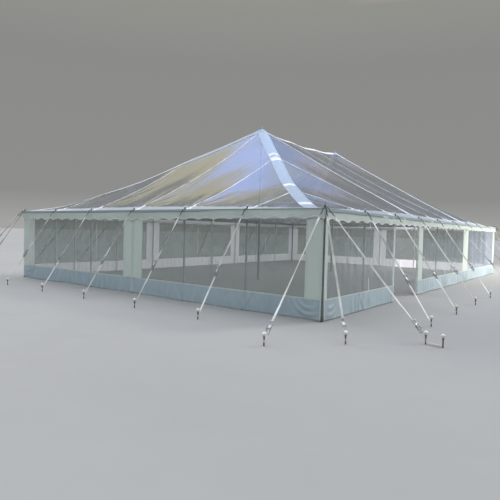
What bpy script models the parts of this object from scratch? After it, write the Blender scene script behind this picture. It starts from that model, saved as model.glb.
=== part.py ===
"""A clear-top pole tent: a 40 by 60 ft marquee with two peaks, clear vinyl roof and walls, and strap guys.

The ridge runs along X. The doorway is in the front wall, which faces -Y. The ground is at Z = 0.
"""

import math
from collections import namedtuple

import bmesh
import bpy
from mathutils import Matrix, Vector

# Sizes of the plan and the roof, in metres
BAY = 2.032
END_BAYS = 6
SIDE_BAYS = 9
EAVE_HEIGHT = 2.376
PEAK_HEIGHT = 5.775
RIDGE_DIP = 0.15
LACE_DIP = 0.05
MIDDLE_DIP = 0.12
END_DIP = 0.23
# How far each hip hangs below a straight line, by the signs of X and Y at its corner
HIP_DIPS = {(-1, -1): 0.52, (-1, 1): 0.36, (1, -1): 0.45, (1, 1): 0.45}
HIP_DIP_SKEW = 1.7

# Widths of the white bands round the clear panels, as seen in plan
EAVE_OUT = 0.060
EAVE_IN = 0.030
BORDER = 0.27
HIP_BAND = 0.36
RIDGE_BAND = 0.30
CAP_REACH = 0.30

# Vinyl and the gap between neighbouring pieces
SKIN = 0.004
SEAT = 0.0003

# Valance
VALANCE_DROP = 0.235
VALANCE_CORNER_GAP = 0.008
WAVE_DEPTH = 0.025
WAVES_PER_BAY = 4
WAVE_STEPS = 4

# Poles
SIDE_POLE_R = 0.025
PIN_R = 0.008
PIN_RISE = 0.11
PIN_HOLE_R = 0.012
MAST_R = 0.050
MAST_PIN_R = 0.016
MAST_PIN_RISE = 0.14
CAP_HOLE_R = 0.022
CAP_FLAT_R = 0.070
BASE_R = 0.15
BASE_THICK = 0.012

# Walls
WALL_TOP_DROP = 0.126
SKIRT = 0.46
TOP_HEM = 0.10
PANEL_BAYS = 3
SIDE_HEM = 0.40
DOOR_HEM = 0.12
BAYS_TO_DOOR = 2
ROPE_R = 0.005
ROPE_DROP = 0.04

# Where the stakes stand: the long sides' guys also slant along the side, towards the nearer corner
END_REACH = 1.60
SIDE_REACH = 1.90
SIDE_SLANT = 0.88
# A corner's three guys, as the foot's distance out along X and along Y and the number of stakes
CORNER_FEET = ((2.53, 0.32, 1), (0.51, 2.29, 2), (1.48, 1.26, 1))

# Guys and stakes
EDGE_WEB_IN = 0.015
EDGE_WEB_OUT = 0.055
LINK_R = 0.006
LINK_START = 0.035
LINK_CLEAR = 0.018
LINK_DROP = 0.17
STRAP_WIDTH = 0.040
STRAP_THICK = 0.004
STRAP_FOOT = 0.08
RATCHET_LENGTH = 0.24
RATCHET_WIDTH = 0.075
RATCHET_HEIGHT = 0.045
RATCHET_UP = 0.95
CORNER_RATCHET_UP = 0.14
STAKE_R = 0.0125
STAKE_RISE = 0.16
STAKE_PAIR = 0.31
BALL_R = 0.038
BITE = 0.004

# Coarseness of the faceted solids
CELLS_PER_BAY = 2
POLE_SIDES = 8
STAKE_SIDES = 6
BALL_SIDES = 6
BALL_RINGS = 4

HALF_LENGTH = SIDE_BAYS * BAY / 2
HALF_WIDTH = END_BAYS * BAY / 2
PEAK_X = HALF_LENGTH - HALF_WIDTH
DIAGONAL = math.sqrt(2)
BORDER_IN = EAVE_IN + BORDER
WALL_HEIGHT = EAVE_HEIGHT - WALL_TOP_DROP
ROPE_HEIGHT = WALL_HEIGHT - ROPE_DROP
WALL_OUT = SIDE_POLE_R - BITE + ROPE_R + SEAT + SKIN / 2
CORNERS = tuple(HIP_DIPS)

# Each side's turn about Z from the back, its half length and its distance from the centre
SIDES = {
    "back": (0.0, HALF_LENGTH, HALF_WIDTH, SIDE_BAYS),
    "left": (math.pi / 2, HALF_WIDTH, HALF_LENGTH, END_BAYS),
    "front": (math.pi, HALF_LENGTH, HALF_WIDTH, SIDE_BAYS),
    "right": (-math.pi / 2, HALF_WIDTH, HALF_LENGTH, END_BAYS),
}

# A guy: its pole's foot, its pull in plan, how far along that the eave's edge and the stake are
Guy = namedtuple("Guy", "pole out edge reach stakes ratchet_up")

COLOURS = {
    "clear_vinyl": ((0.72, 0.78, 0.80, 1.0), 0.12, 0.0),
    "white_vinyl": ((0.86, 0.88, 0.89, 1.0), 0.45, 0.0),
    "pole_aluminium": ((0.56, 0.58, 0.58, 1.0), 0.38, 0.9),
    "strap_webbing": ((0.80, 0.80, 0.76, 1.0), 0.80, 0.0),
}


def clear_scene():
    for obj in list(bpy.data.objects):
        bpy.data.objects.remove(obj)


def make_material(name):
    colour, roughness, metallic = COLOURS[name]
    material = bpy.data.materials.new(name)
    material.use_nodes = True
    shader = material.node_tree.nodes["Principled BSDF"]
    shader.inputs["Base Color"].default_value = colour
    shader.inputs["Roughness"].default_value = roughness
    shader.inputs["Metallic"].default_value = metallic
    return material


# Making and joining meshes

def evaluated_mesh(obj):
    """The object's mesh with its modifiers and caps, welded, after which the object is removed."""
    bpy.context.scene.collection.objects.link(obj)
    view = bpy.context.evaluated_depsgraph_get()
    mesh = bpy.data.meshes.new_from_object(obj.evaluated_get(view))
    bpy.data.objects.remove(obj)
    shape = bmesh.new()
    shape.from_mesh(mesh)
    bmesh.ops.remove_doubles(shape, verts=shape.verts, dist=1e-5)
    shape.to_mesh(mesh)
    shape.free()
    return mesh


def joined_mesh(name, placed):
    """One mesh of several, each given as (mesh, matrix)."""
    shape = bmesh.new()
    for mesh, matrix in placed:
        copy = mesh.copy()
        copy.transform(matrix)
        shape.from_mesh(copy)
        bpy.data.meshes.remove(copy)
    bmesh.ops.recalc_face_normals(shape, faces=shape.faces)
    mesh = bpy.data.meshes.new(name)
    shape.to_mesh(mesh)
    shape.free()
    return mesh


def plate(outlines, thickness):
    """A flat plate in XY, cut to closed outlines; an outline inside another is a hole."""
    curve = bpy.data.curves.new("plate", "CURVE")
    curve.dimensions = "2D"
    curve.fill_mode = "BOTH"
    curve.extrude = thickness / 2
    for points in outlines:
        spline = curve.splines.new("POLY")
        spline.points.add(len(points) - 1)
        for point, (x, y) in zip(spline.points, points):
            point.co = (x, y, 0, 1)
        spline.use_cyclic_u = True
    return evaluated_mesh(bpy.data.objects.new("plate", curve))


def rectangle(low_x, high_x, low_y, high_y):
    return [(low_x, low_y), (high_x, low_y), (high_x, high_y), (low_x, high_y)]


def block(length, width, height):
    """A box centred on the origin."""
    shape = bmesh.new()
    bmesh.ops.create_cube(shape, size=1.0, matrix=Matrix.Diagonal((length, width, height, 1)))
    mesh = bpy.data.meshes.new("block")
    shape.to_mesh(mesh)
    shape.free()
    return mesh


def turned(profile, sides):
    """A solid turned about Z from (radius, height) points that run down its outer side."""
    mesh = bpy.data.meshes.new("profile")
    points = [(radius, 0, height) for radius, height in profile]
    mesh.from_pydata(points, [(i, i + 1) for i in range(len(points) - 1)], [])
    obj = bpy.data.objects.new("turned", mesh)
    screw = obj.modifiers.new("turn", "SCREW")
    screw.steps = sides
    screw.render_steps = sides
    screw.use_merge_vertices = True
    screw.merge_threshold = 0.0001
    return evaluated_mesh(obj)


def stepped_rod(steps, sides):
    """A round solid from (radius, bottom, top) lengths, given from the lowest up."""
    profile = [(0, steps[-1][2])]
    for radius, bottom, top in reversed(steps):
        profile += [(radius, top), (radius, bottom)]
    profile.append((0, steps[0][1]))
    return turned(profile, sides)


def bent_rod(points, radius):
    """A thin four-sided rod along a list of points."""
    curve = bpy.data.curves.new("rod", "CURVE")
    curve.dimensions = "3D"
    curve.bevel_depth = radius
    curve.bevel_resolution = 0
    curve.use_fill_caps = True
    spline = curve.splines.new("POLY")
    spline.points.add(len(points) - 1)
    for point, place in zip(spline.points, points):
        point.co = (*place, 1)
    return evaluated_mesh(bpy.data.objects.new("rod", curve))


def ball(radius):
    shape = bmesh.new()
    bmesh.ops.create_uvsphere(shape, u_segments=BALL_SIDES, v_segments=BALL_RINGS, radius=radius)
    mesh = bpy.data.meshes.new("ball")
    shape.to_mesh(mesh)
    shape.free()
    return mesh


# Places round the tent

def side_matrix(side):
    """From a side's own frame to the world: X along the side, Y outward from its pole line, Z up."""
    turn, _, distance, _ = SIDES[side]
    return Matrix.Rotation(turn, 4, "Z") @ Matrix.Translation((0, distance, 0))


def standing(side, out):
    """From a plate's XY to a side's vertical plane, at a distance outside its pole line."""
    upright = Matrix.Rotation(math.pi / 2, 4, "X")
    return side_matrix(side) @ Matrix.Translation((0, out, 0)) @ upright


def pole_places(side):
    _, half, _, bays = SIDES[side]
    return [-half + bay * BAY for bay in range(bays + 1)]


# The roof surface

def dip_shape(s):
    """A symmetric dip that is 0 at the eave and the top, and 1 halfway."""
    return 4 * s * (1 - s)


def hip_dip_shape(s):
    """A dip with its deepest point, of 1, below the middle of the hip."""
    deepest = 1 / (1 + HIP_DIP_SKEW)
    scale = deepest * (1 - deepest) ** HIP_DIP_SKEW
    return s * (1 - s) ** HIP_DIP_SKEW / scale


def roof_height(x, y):
    """Height of the roof's underside over a point of the plan."""
    from_end = HALF_LENGTH - abs(x)
    from_side = HALF_WIDTH - abs(y)
    inward = min(from_end, from_side)
    if inward <= EAVE_IN:
        return EAVE_HEIGHT
    s = min(1.0, (inward - EAVE_IN) / (HALF_WIDTH - EAVE_IN))
    width = max(HALF_WIDTH - inward, 1e-6)
    top = PEAK_HEIGHT
    hip_dip = HIP_DIPS[math.copysign(1, x), math.copysign(1, y)] * hip_dip_shape(s)
    if from_end < from_side:
        middle_dip = END_DIP * dip_shape(s)
        across = abs(y) / width
        dip = middle_dip + (hip_dip - middle_dip) * across**2
    elif abs(x) > PEAK_X:
        middle_dip = LACE_DIP * dip_shape(s)
        across = min(1.0, (abs(x) - PEAK_X) / width)
        dip = middle_dip + (hip_dip - middle_dip) * across**2
    else:
        hang = 1 - (x / PEAK_X) ** 2
        top = PEAK_HEIGHT - RIDGE_DIP * hang
        dip = (LACE_DIP + (MIDDLE_DIP - LACE_DIP) * hang) * dip_shape(s)
    return EAVE_HEIGHT + (top - EAVE_HEIGHT) * s - dip


def draped(plan_matrix, columns, rows, cuts, creases=()):
    """A piece of roof skin: a grid in plan, cut by vertical planes, laid on the roof and thickened.

    Each cut is (point, normal) in the grid's own frame; what lies on the normal's side is removed.
    A crease is the same plane, but only makes a fold line there.
    plan_matrix is (grid size matrix, matrix from that frame to the world).
    """
    size_matrix, world_matrix = plan_matrix
    shape = bmesh.new()
    bmesh.ops.create_grid(shape, x_segments=columns, y_segments=rows, size=1.0, matrix=size_matrix)
    planes = [(cut, True) for cut in cuts] + [(crease, False) for crease in creases]
    for (point, normal), removes in planes:
        outward = Vector((*normal, 0)).normalized()
        bmesh.ops.bisect_plane(
            shape,
            geom=shape.verts[:] + shape.edges[:] + shape.faces[:],
            dist=1e-6,
            plane_co=Vector((*point, 0)) - outward * (SEAT / 2 if removes else 0),
            plane_no=outward,
            clear_outer=removes,
        )
    bmesh.ops.triangulate(shape, faces=shape.faces)
    shape.transform(world_matrix)
    for vert in shape.verts:
        vert.co.z = roof_height(vert.co.x, vert.co.y)
    return thickened(shape)


def thickened(shape):
    """A closed skin of a surface, raised along Z by its thickness."""
    grown = bmesh.ops.extrude_face_region(shape, geom=shape.faces[:])
    top = [item for item in grown["geom"] if isinstance(item, bmesh.types.BMVert)]
    bmesh.ops.translate(shape, verts=top, vec=(0, 0, SKIN))
    bmesh.ops.recalc_face_normals(shape, faces=shape.faces)
    mesh = bpy.data.meshes.new("skin")
    shape.to_mesh(mesh)
    shape.free()
    return mesh


def plan_grid(side, low_u, high_u, low_in, high_in):
    """Grid size and world matrices for a rectangle of a side's frame, given along and inward."""
    centre = ((low_u + high_u) / 2, -(low_in + high_in) / 2, 0)
    stretch = Matrix.Diagonal(((high_u - low_u) / 2, (high_in - low_in) / 2, 1, 1))
    return Matrix.Translation(centre) @ stretch, side_matrix(side)


def rectangle_cuts(low_u, high_u, low_in, high_in):
    return [
        ((low_u, 0), (-1, 0)),
        ((high_u, 0), (1, 0)),
        ((0, -low_in), (0, 1)),
        ((0, -high_in), (0, -1)),
    ]


def hip_cuts(half, clearance):
    """Cuts along both hips of a side, at a distance inside the hip lines."""
    shift = clearance * DIAGONAL
    return [((-half + shift, 0), (-1, -1)), ((half - shift, 0), (1, -1))]


def cap_cuts():
    """Cuts that keep the middle panels of a long side off both peak caps."""
    reach = CAP_REACH * DIAGONAL
    return [
        ((PEAK_X - reach, -HALF_WIDTH), (1, -1)),
        ((-PEAK_X + reach, -HALF_WIDTH), (-1, -1)),
    ]


def clear_panels():
    """The clear sheet of each roof face: one on each end, and three along each side."""
    rows = END_BAYS * CELLS_PER_BAY // 2
    panels = {}
    for side, (_, half, _, bays) in SIDES.items():
        if half <= HALF_WIDTH:
            cuts = rectangle_cuts(-half, half, BORDER_IN, HALF_WIDTH - CAP_REACH)
            cuts += hip_cuts(half, HIP_BAND / 2)
            grid = plan_grid(side, -half, half, 0, HALF_WIDTH)
            panels[f"clear_roof_{side}"] = draped(grid, bays * CELLS_PER_BAY, rows, cuts)
            continue
        for section, low, high in (
            ("a", -half, -PEAK_X),
            ("middle", -PEAK_X, PEAK_X),
            ("b", PEAK_X, half),
        ):
            limit = HALF_WIDTH - (RIDGE_BAND / 2 if section == "middle" else CAP_REACH)
            cuts = rectangle_cuts(low, high, BORDER_IN, limit)
            cuts += cap_cuts() if section == "middle" else hip_cuts(half, HIP_BAND / 2)
            columns = round((high - low) / BAY) * CELLS_PER_BAY
            grid = plan_grid(side, low, high, 0, HALF_WIDTH)
            middle = side_matrix(side) @ Vector(((low + high) / 2, 0, 0))
            if section != "middle":
                section = "left" if middle.x < 0 else "right"
            panels[f"clear_roof_{side}_{section}"] = draped(grid, columns, rows, cuts)
    return panels


def hip_band(sign_x, sign_y):
    """The white band over one hip, from the eave border to the peak cap."""
    peak = Vector((sign_x * PEAK_X, 0, 0))
    along = Vector((sign_x, sign_y, 0)) / DIAGONAL
    hip_length = HALF_WIDTH * DIAGONAL
    turn = Matrix.Rotation(math.atan2(along.y, along.x), 4, "Z")
    world = Matrix.Translation(peak) @ turn
    stretch = Matrix.Diagonal((hip_length / 2, HIP_BAND, 1, 1))
    size = Matrix.Translation((hip_length / 2, 0, 0)) @ stretch
    low_end = hip_length - BORDER_IN * DIAGONAL
    cuts = [
        ((0, HIP_BAND / 2), (0, 1)),
        ((0, -HIP_BAND / 2), (0, -1)),
        ((CAP_REACH, 0), (-1, 0)),
        ((low_end, 0), (1, 1)),
        ((low_end, 0), (1, -1)),
    ]
    rows = END_BAYS * CELLS_PER_BAY // 2
    return draped((size, world), rows, 2, cuts)


def ridge_band():
    """The band over the ridge, between the two peak caps."""
    reach = PEAK_X - CAP_REACH
    size = Matrix.Diagonal((PEAK_X, RIDGE_BAND, 1, 1))
    cuts = [
        ((reach, 0), (1, 0)),
        ((-reach, 0), (-1, 0)),
        ((0, RIDGE_BAND / 2), (0, 1)),
        ((0, -RIDGE_BAND / 2), (0, -1)),
    ]
    return draped((size, Matrix.Identity(4)), 2 * PANEL_BAYS, 2, cuts)


def eave_border(side):
    """A side's white border, flat at the eave and then rising with the roof, mitred on the hips."""
    _, half, _, bays = SIDES[side]
    grid = plan_grid(side, -half - EAVE_OUT, half + EAVE_OUT, -EAVE_OUT, BORDER_IN)
    cuts = rectangle_cuts(-half - BAY, half + BAY, -EAVE_OUT, BORDER_IN) + hip_cuts(half, 0)
    return draped(grid, bays, 1, cuts, creases=[((0, -EAVE_IN), (0, 1))])


def peak_cap(sign_x):
    """The eight-sided white cap on a peak, round the hole for the mast's pin."""
    corner_reach = (CAP_REACH - SEAT / 2) / math.cos(math.pi / 8)
    shape = bmesh.new()
    loops = []
    for radius in (corner_reach, CAP_FLAT_R, CAP_HOLE_R):
        loop = []
        for step in range(8):
            angle = math.pi / 8 + step * math.pi / 4
            x = sign_x * PEAK_X + radius * math.cos(angle)
            y = radius * math.sin(angle)
            z = roof_height(x, y) if radius == corner_reach else PEAK_HEIGHT
            loop.append(shape.verts.new((x, y, z)))
        loops.append(loop)
    for outer, inner in zip(loops, loops[1:]):
        for a, b in zip(range(8), [*range(1, 8), 0]):
            shape.faces.new((outer[a], outer[b], inner[b], inner[a]))
    bmesh.ops.triangulate(shape, faces=shape.faces)
    return thickened(shape)


# Valance, walls and the rope they hang on

def valance(side):
    """The hanging strip under a side's eave, with a wavy lower edge, upright in its own XY plane."""
    _, half, _, bays = SIDES[side]
    end = half + EAVE_OUT - VALANCE_CORNER_GAP
    steps = bays * WAVES_PER_BAY * WAVE_STEPS
    shape = bmesh.new()
    columns = []
    for step in range(steps + 1):
        along = -end + 2 * end * step / steps
        phase = 2 * math.pi * step / WAVE_STEPS
        low = EAVE_HEIGHT - VALANCE_DROP - WAVE_DEPTH * math.cos(phase)
        heights = (EAVE_HEIGHT - SEAT, low)
        columns.append([shape.verts.new((along, height, 0)) for height in heights])
    for (high_a, low_a), (high_b, low_b) in zip(columns, columns[1:]):
        shape.faces.new((high_a, low_a, low_b, high_b))
    return thickened(shape), standing(side, EAVE_OUT - SEAT)


def wall_runs(side):
    """Each unbroken run of wall panels on a side, as (name, [(low, high, side hem), ...])."""
    places = pole_places(side)
    if side != "front":
        panels = [(low, low + PANEL_BAYS * BAY, SIDE_HEM) for low in places[:-1:PANEL_BAYS]]
        return [(f"{side}_wall", panels)]
    door_edge = places[-1] - BAYS_TO_DOOR * BAY
    beside_door = [(door_edge, places[-1], DOOR_HEM)]
    panels = []
    high = door_edge - BAY
    while high > places[0] + BAY / 2:
        low = max(places[0], high - PANEL_BAYS * BAY)
        panels.append((low, high, SIDE_HEM))
        high = low
    return [("front_wall_left", beside_door), ("front_wall_right", panels)]


def wall_frame(side, panels):
    """The white hems and skirts of a run of wall panels, with the windows cut out."""
    low = min(panel[0] for panel in panels)
    high = max(panel[1] for panel in panels)
    outlines = [rectangle(low, high, 0, WALL_HEIGHT)]
    for start, end, hem in panels:
        outlines.append(rectangle(start + hem, end - hem, SKIRT, WALL_HEIGHT - TOP_HEM))
    return plate(outlines, SKIN), standing(side, WALL_OUT)


def wall_window(side, low, high, hem):
    outline = rectangle(
        low + hem + SEAT,
        high - hem - SEAT,
        SKIRT + SEAT,
        WALL_HEIGHT - TOP_HEM - SEAT,
    )
    return plate([outline], SKIN), standing(side, WALL_OUT)


def wall_rope(side):
    """The rope that a side's walls hang on, from its first pole to its last."""
    places = pole_spots(side)
    rod = stepped_rod([(ROPE_R, places[0], places[-1])], STAKE_SIDES)
    out = Matrix.Translation((0, SIDE_POLE_R - BITE, ROPE_HEIGHT))
    return rod, side_matrix(side) @ out @ Matrix.Rotation(math.pi / 2, 4, "Y")


# Poles

def side_pole_mesh():
    seat = EAVE_HEIGHT - SEAT
    return stepped_rod([(SIDE_POLE_R, 0, seat), (PIN_R, seat, EAVE_HEIGHT + PIN_RISE)], POLE_SIDES)


def mast_mesh():
    seat = PEAK_HEIGHT - SEAT
    steps = [
        (BASE_R, 0, BASE_THICK),
        (MAST_R, BASE_THICK, seat),
        (MAST_PIN_R, seat, PEAK_HEIGHT + MAST_PIN_RISE),
    ]
    return stepped_rod(steps, 2 * POLE_SIDES)


def pole_spots(side):
    """The poles that a side's node holds: the long sides also hold the corner poles."""
    _, half, _, _ = SIDES[side]
    places = pole_places(side)
    return places if half > HALF_WIDTH else places[1:-1]


# Guys

def edge_web(side):
    """The webbing along a side's eave that its guys pull on. The long sides' also turn the corners."""
    _, half, _, _ = SIDES[side]
    if half > HALF_WIDTH:
        end = half + EDGE_WEB_OUT
        leg = half + EDGE_WEB_IN
        outline = [
            (-end, EDGE_WEB_OUT),
            (-end, -EDGE_WEB_OUT),
            (-leg, -EDGE_WEB_OUT),
            (-leg, EDGE_WEB_IN),
            (leg, EDGE_WEB_IN),
            (leg, -EDGE_WEB_OUT),
            (end, -EDGE_WEB_OUT),
            (end, EDGE_WEB_OUT),
        ]
    else:
        end = half - EDGE_WEB_OUT - SEAT
        outline = rectangle(-end, end, EDGE_WEB_IN, EDGE_WEB_OUT)
    lift = Matrix.Translation((0, 0, EAVE_HEIGHT + SKIN + SEAT + SKIN / 2))
    return plate([outline], SKIN), side_matrix(side) @ lift


def guy_to(pole, offset, stakes, ratchet_up):
    """A guy from a pole to a foot at an offset in plan."""
    out = offset.normalized()
    edge = EAVE_OUT / max(abs(out.x), abs(out.y))
    return Guy(pole, out, edge, offset.length, stakes, ratchet_up)


def side_guys(side):
    """The guys of a side's poles. The long sides also have those of the corners."""
    _, half, _, _ = SIDES[side]
    long_side = half > HALF_WIDTH
    to_world = side_matrix(side)
    turn = to_world.to_3x3()
    guys = []
    for place in pole_places(side)[1:-1]:
        slant = math.copysign(SIDE_SLANT, place) if long_side else 0
        offset = Vector((slant, SIDE_REACH if long_side else END_REACH, 0))
        pole = to_world @ Vector((place, 0, 0))
        guys.append(guy_to(pole, turn @ offset, 1, RATCHET_UP))
    if not long_side:
        return guys
    outward = turn @ Vector((0, 1, 0))
    for sign_x, sign_y in CORNERS:
        if sign_y * outward.y < 0:
            continue
        corner = Vector((sign_x * HALF_LENGTH, sign_y * HALF_WIDTH, 0))
        for along_x, along_y, stakes in CORNER_FEET:
            offset = Vector((sign_x * along_x, sign_y * along_y, 0))
            guys.append(guy_to(corner, offset, stakes, CORNER_RATCHET_UP))
    return guys


def guy_frame(guy):
    """X along the guy's pull in plan, Z up, with the origin on the ground under the pole's pin."""
    return Matrix.Translation(guy.pole) @ Matrix.Rotation(math.atan2(guy.out.y, guy.out.x), 4, "Z")


def guy_line(guy):
    """The bend of the rope link over the eave, its lower end, the strap's foot and the slope between."""
    bend = Vector((guy.edge + LINK_CLEAR, 0, EAVE_HEIGHT + SKIN + SEAT + LINK_R))
    foot = Vector((guy.reach, 0, STRAP_FOOT))
    slope = (foot - bend).normalized()
    return bend, bend + slope * (LINK_DROP / -slope.z), foot, slope


def guy_link(guy):
    bend, lower, _, slope = guy_line(guy)
    start = Vector((LINK_START, 0, bend.z))
    return bent_rod([start, bend, lower + slope * STRAP_WIDTH], LINK_R)


def laid_along(start, end, slope):
    """A matrix that lays a block, long in X, from start to end."""
    return Matrix.Translation((start + end) / 2) @ Matrix.Rotation(-math.atan2(slope.z, slope.x), 4, "Y")


def guy_strap(guy):
    _, lower, foot, slope = guy_line(guy)
    return block((foot - lower).length, STRAP_WIDTH, STRAP_THICK), laid_along(lower, foot, slope)


def guy_ratchet(guy):
    _, _, foot, slope = guy_line(guy)
    lift = RATCHET_HEIGHT / 2
    up_strap = Matrix.Translation((-guy.ratchet_up - RATCHET_LENGTH / 2, 0, lift))
    return block(RATCHET_LENGTH, RATCHET_WIDTH, RATCHET_HEIGHT), laid_along(foot, foot, slope) @ up_strap


def guy_groups(side):
    """Two groups of a side's guy pieces; within a group none touch, and between them they join up."""
    stake = stepped_rod([(STAKE_R, 0, STAKE_RISE)], STAKE_SIDES)
    knob = ball(BALL_R)
    tie = block(STAKE_PAIR, STRAP_WIDTH, STRAP_THICK)
    straps, fittings = [edge_web(side)], []
    for guy in side_guys(side):
        frame = guy_frame(guy)
        strap, laid = guy_strap(guy)
        straps.append((strap, frame @ laid))
        fittings.append((guy_link(guy), frame))
        ratchet, laid = guy_ratchet(guy)
        fittings.append((ratchet, frame @ laid))
        for number in range(guy.stakes):
            spot = frame @ Matrix.Translation((guy.reach + number * STAKE_PAIR, 0, 0))
            fittings.append((stake, spot))
            top = Matrix.Translation((0, 0, STAKE_RISE + BALL_R - BITE))
            straps.append((knob, spot @ top))
        if guy.stakes > 1:
            low = Matrix.Translation((guy.reach + STAKE_PAIR / 2, 0, STRAP_FOOT / 2))
            straps.append((tie, frame @ low))
    return straps, fittings


# The assembly

def add_part(collection, name, placed, material):
    obj = bpy.data.objects.new(name, joined_mesh(name, placed))
    obj.data.materials.clear()
    obj.data.materials.append(material)
    collection.objects.link(obj)
    return obj


def combine(target, helpers, name, placed, operation):
    """Join pieces to a part, or cut them out of it, with a hidden helper object."""
    helper = add_part(helpers, name, placed, target.data.materials[0])
    helper.hide_render = True
    helper.display_type = "WIRE"
    modifier = target.modifiers.new(name, "BOOLEAN")
    modifier.solver = "EXACT"
    modifier.operation = operation
    modifier.object = helper


def unplaced(mesh):
    return [(mesh, Matrix.Identity(4))]


def smooth(obj):
    obj.data.shade_smooth()
    obj.data.set_sharp_from_angle(angle=math.radians(40))


def end_name(sign_x):
    return "left" if sign_x < 0 else "right"


def add_roof(parts, materials):
    for name, mesh in clear_panels().items():
        add_part(parts, name, unplaced(mesh), materials["clear_vinyl"])
    for sign_x, sign_y in CORNERS:
        name = f"hip_band_{'front' if sign_y < 0 else 'back'}_{end_name(sign_x)}"
        add_part(parts, name, unplaced(hip_band(sign_x, sign_y)), materials["white_vinyl"])
    add_part(parts, "ridge_band", unplaced(ridge_band()), materials["white_vinyl"])
    for sign_x in (-1, 1):
        name = f"peak_cap_{end_name(sign_x)}"
        add_part(parts, name, unplaced(peak_cap(sign_x)), materials["white_vinyl"])


def add_eaves(parts, helpers, materials):
    hole = stepped_rod([(PIN_HOLE_R, -PIN_RISE, PIN_RISE)], POLE_SIDES)
    for side in SIDES:
        border = unplaced(eave_border(side))
        eave = add_part(parts, f"eave_border_{side}", border, materials["white_vinyl"])
        add_part(parts, f"valance_{side}", [valance(side)], materials["white_vinyl"])
        holes = [
            (hole, side_matrix(side) @ Matrix.Translation((place, 0, EAVE_HEIGHT)))
            for place in pole_places(side)
        ]
        combine(eave, helpers, f"pin_holes_{side}", holes, "DIFFERENCE")


def add_walls(parts, materials):
    for side in SIDES:
        number = 0
        for name, panels in wall_runs(side):
            add_part(parts, name, [wall_frame(side, panels)], materials["white_vinyl"])
            for low, high, hem in panels:
                number += 1
                window = [wall_window(side, low, high, hem)]
                add_part(parts, f"{side}_window_{number}", window, materials["clear_vinyl"])


def add_poles(parts, helpers, materials):
    pole = side_pole_mesh()
    for side in SIDES:
        placed = [
            (pole, side_matrix(side) @ Matrix.Translation((place, 0, 0)))
            for place in pole_spots(side)
        ]
        poles = add_part(parts, f"side_poles_{side}", placed, materials["pole_aluminium"])
        smooth(poles)
        combine(poles, helpers, f"wall_rope_{side}", [wall_rope(side)], "UNION")
    for sign_x in (-1, 1):
        spot = [(mast_mesh(), Matrix.Translation((sign_x * PEAK_X, 0, 0)))]
        smooth(add_part(parts, f"mast_{end_name(sign_x)}", spot, materials["pole_aluminium"]))


def add_guys(parts, helpers, materials):
    for side in SIDES:
        straps, fittings = guy_groups(side)
        guys = add_part(parts, f"guys_{side}", straps, materials["strap_webbing"])
        combine(guys, helpers, f"guy_fittings_{side}", fittings, "UNION")


def main():
    clear_scene()
    parts = bpy.data.collections.new("pole_tent")
    helpers = bpy.data.collections.new("cutters")
    for collection in (parts, helpers):
        bpy.context.scene.collection.children.link(collection)
    materials = {name: make_material(name) for name in COLOURS}
    add_roof(parts, materials)
    add_eaves(parts, helpers, materials)
    add_walls(parts, materials)
    add_poles(parts, helpers, materials)
    add_guys(parts, helpers, materials)


main()
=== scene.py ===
# %% [markdown]
# # A clear-top pole tent
#
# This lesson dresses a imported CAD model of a 40 by 60 ft marquee: two masts push up a roof of clear vinyl,
# thirty side poles hold its edge, and ratchet straps pull that edge down to stakes in the ground. The CAD
# gives every place and size. Here each plain solid gives way to a piece with the shape, slack and finish of
# the real one: film that sags between its seams, a scalloped valance, creased skirts, woven straps.

# %% Load the frame
import math

import bpy
from mathutils import Matrix, Vector, noise


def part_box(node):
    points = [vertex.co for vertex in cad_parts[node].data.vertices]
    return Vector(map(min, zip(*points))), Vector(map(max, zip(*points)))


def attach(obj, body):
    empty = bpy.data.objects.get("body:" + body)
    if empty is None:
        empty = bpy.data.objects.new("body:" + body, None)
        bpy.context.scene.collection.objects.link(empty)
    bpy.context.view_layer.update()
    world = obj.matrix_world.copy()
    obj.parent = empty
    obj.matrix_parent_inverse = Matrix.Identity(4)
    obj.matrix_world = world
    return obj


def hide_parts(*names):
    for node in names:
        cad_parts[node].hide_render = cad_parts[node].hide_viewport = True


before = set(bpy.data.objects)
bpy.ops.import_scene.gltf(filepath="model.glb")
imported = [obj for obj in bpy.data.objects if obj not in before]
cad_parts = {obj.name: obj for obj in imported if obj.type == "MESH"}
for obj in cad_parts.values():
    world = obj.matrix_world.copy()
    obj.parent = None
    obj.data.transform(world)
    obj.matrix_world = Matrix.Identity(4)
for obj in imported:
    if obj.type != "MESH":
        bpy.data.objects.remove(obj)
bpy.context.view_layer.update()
print("CAD nodes:", len(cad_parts))

# %% [markdown]
# ## Sizes that the CAD already knows
#
# The tent is six bays wide and nine long, and each wall ends at the middle of a corner pole. The boxes of a
# few CAD nodes give these sizes, so the dressing follows if the model is ever packed at another size.

# %% Sizes from the frame
VINYL = 0.004  # how thick the CAD draws its sheets
THIN, BANDED, DOUBLED = 0.001, 0.0012, 0.0015  # how thick they are here: a layer, a band, two layers
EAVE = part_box("eave_border_left")[0].z
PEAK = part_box("peak_cap_left")[1].z - VINYL
HALF_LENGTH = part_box("front_wall_right")[1].x
HALF_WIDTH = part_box("left_wall")[1].y
PEAK_X = HALF_LENGTH - HALF_WIDTH
BAY = HALF_WIDTH / 3
EAVE_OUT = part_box("eave_border_front")[1].x - HALF_LENGTH
WALL_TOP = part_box("back_wall")[1].z
WALL_OUT = (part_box("back_wall")[0].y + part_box("back_wall")[1].y) / 2 - HALF_WIDTH
DOOR_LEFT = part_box("front_wall_left")[1].x
DOOR_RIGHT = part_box("front_wall_right")[0].x
RUN_SIDES = ("front", "back", "left", "right")
SIGNS = {"front": -1, "back": 1, "left": -1, "right": 1}
print(f"plan {2 * HALF_LENGTH:.3f} x {2 * HALF_WIDTH:.3f} m, eave {EAVE:.3f} m, peaks {PEAK:.3f} m")

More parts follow.
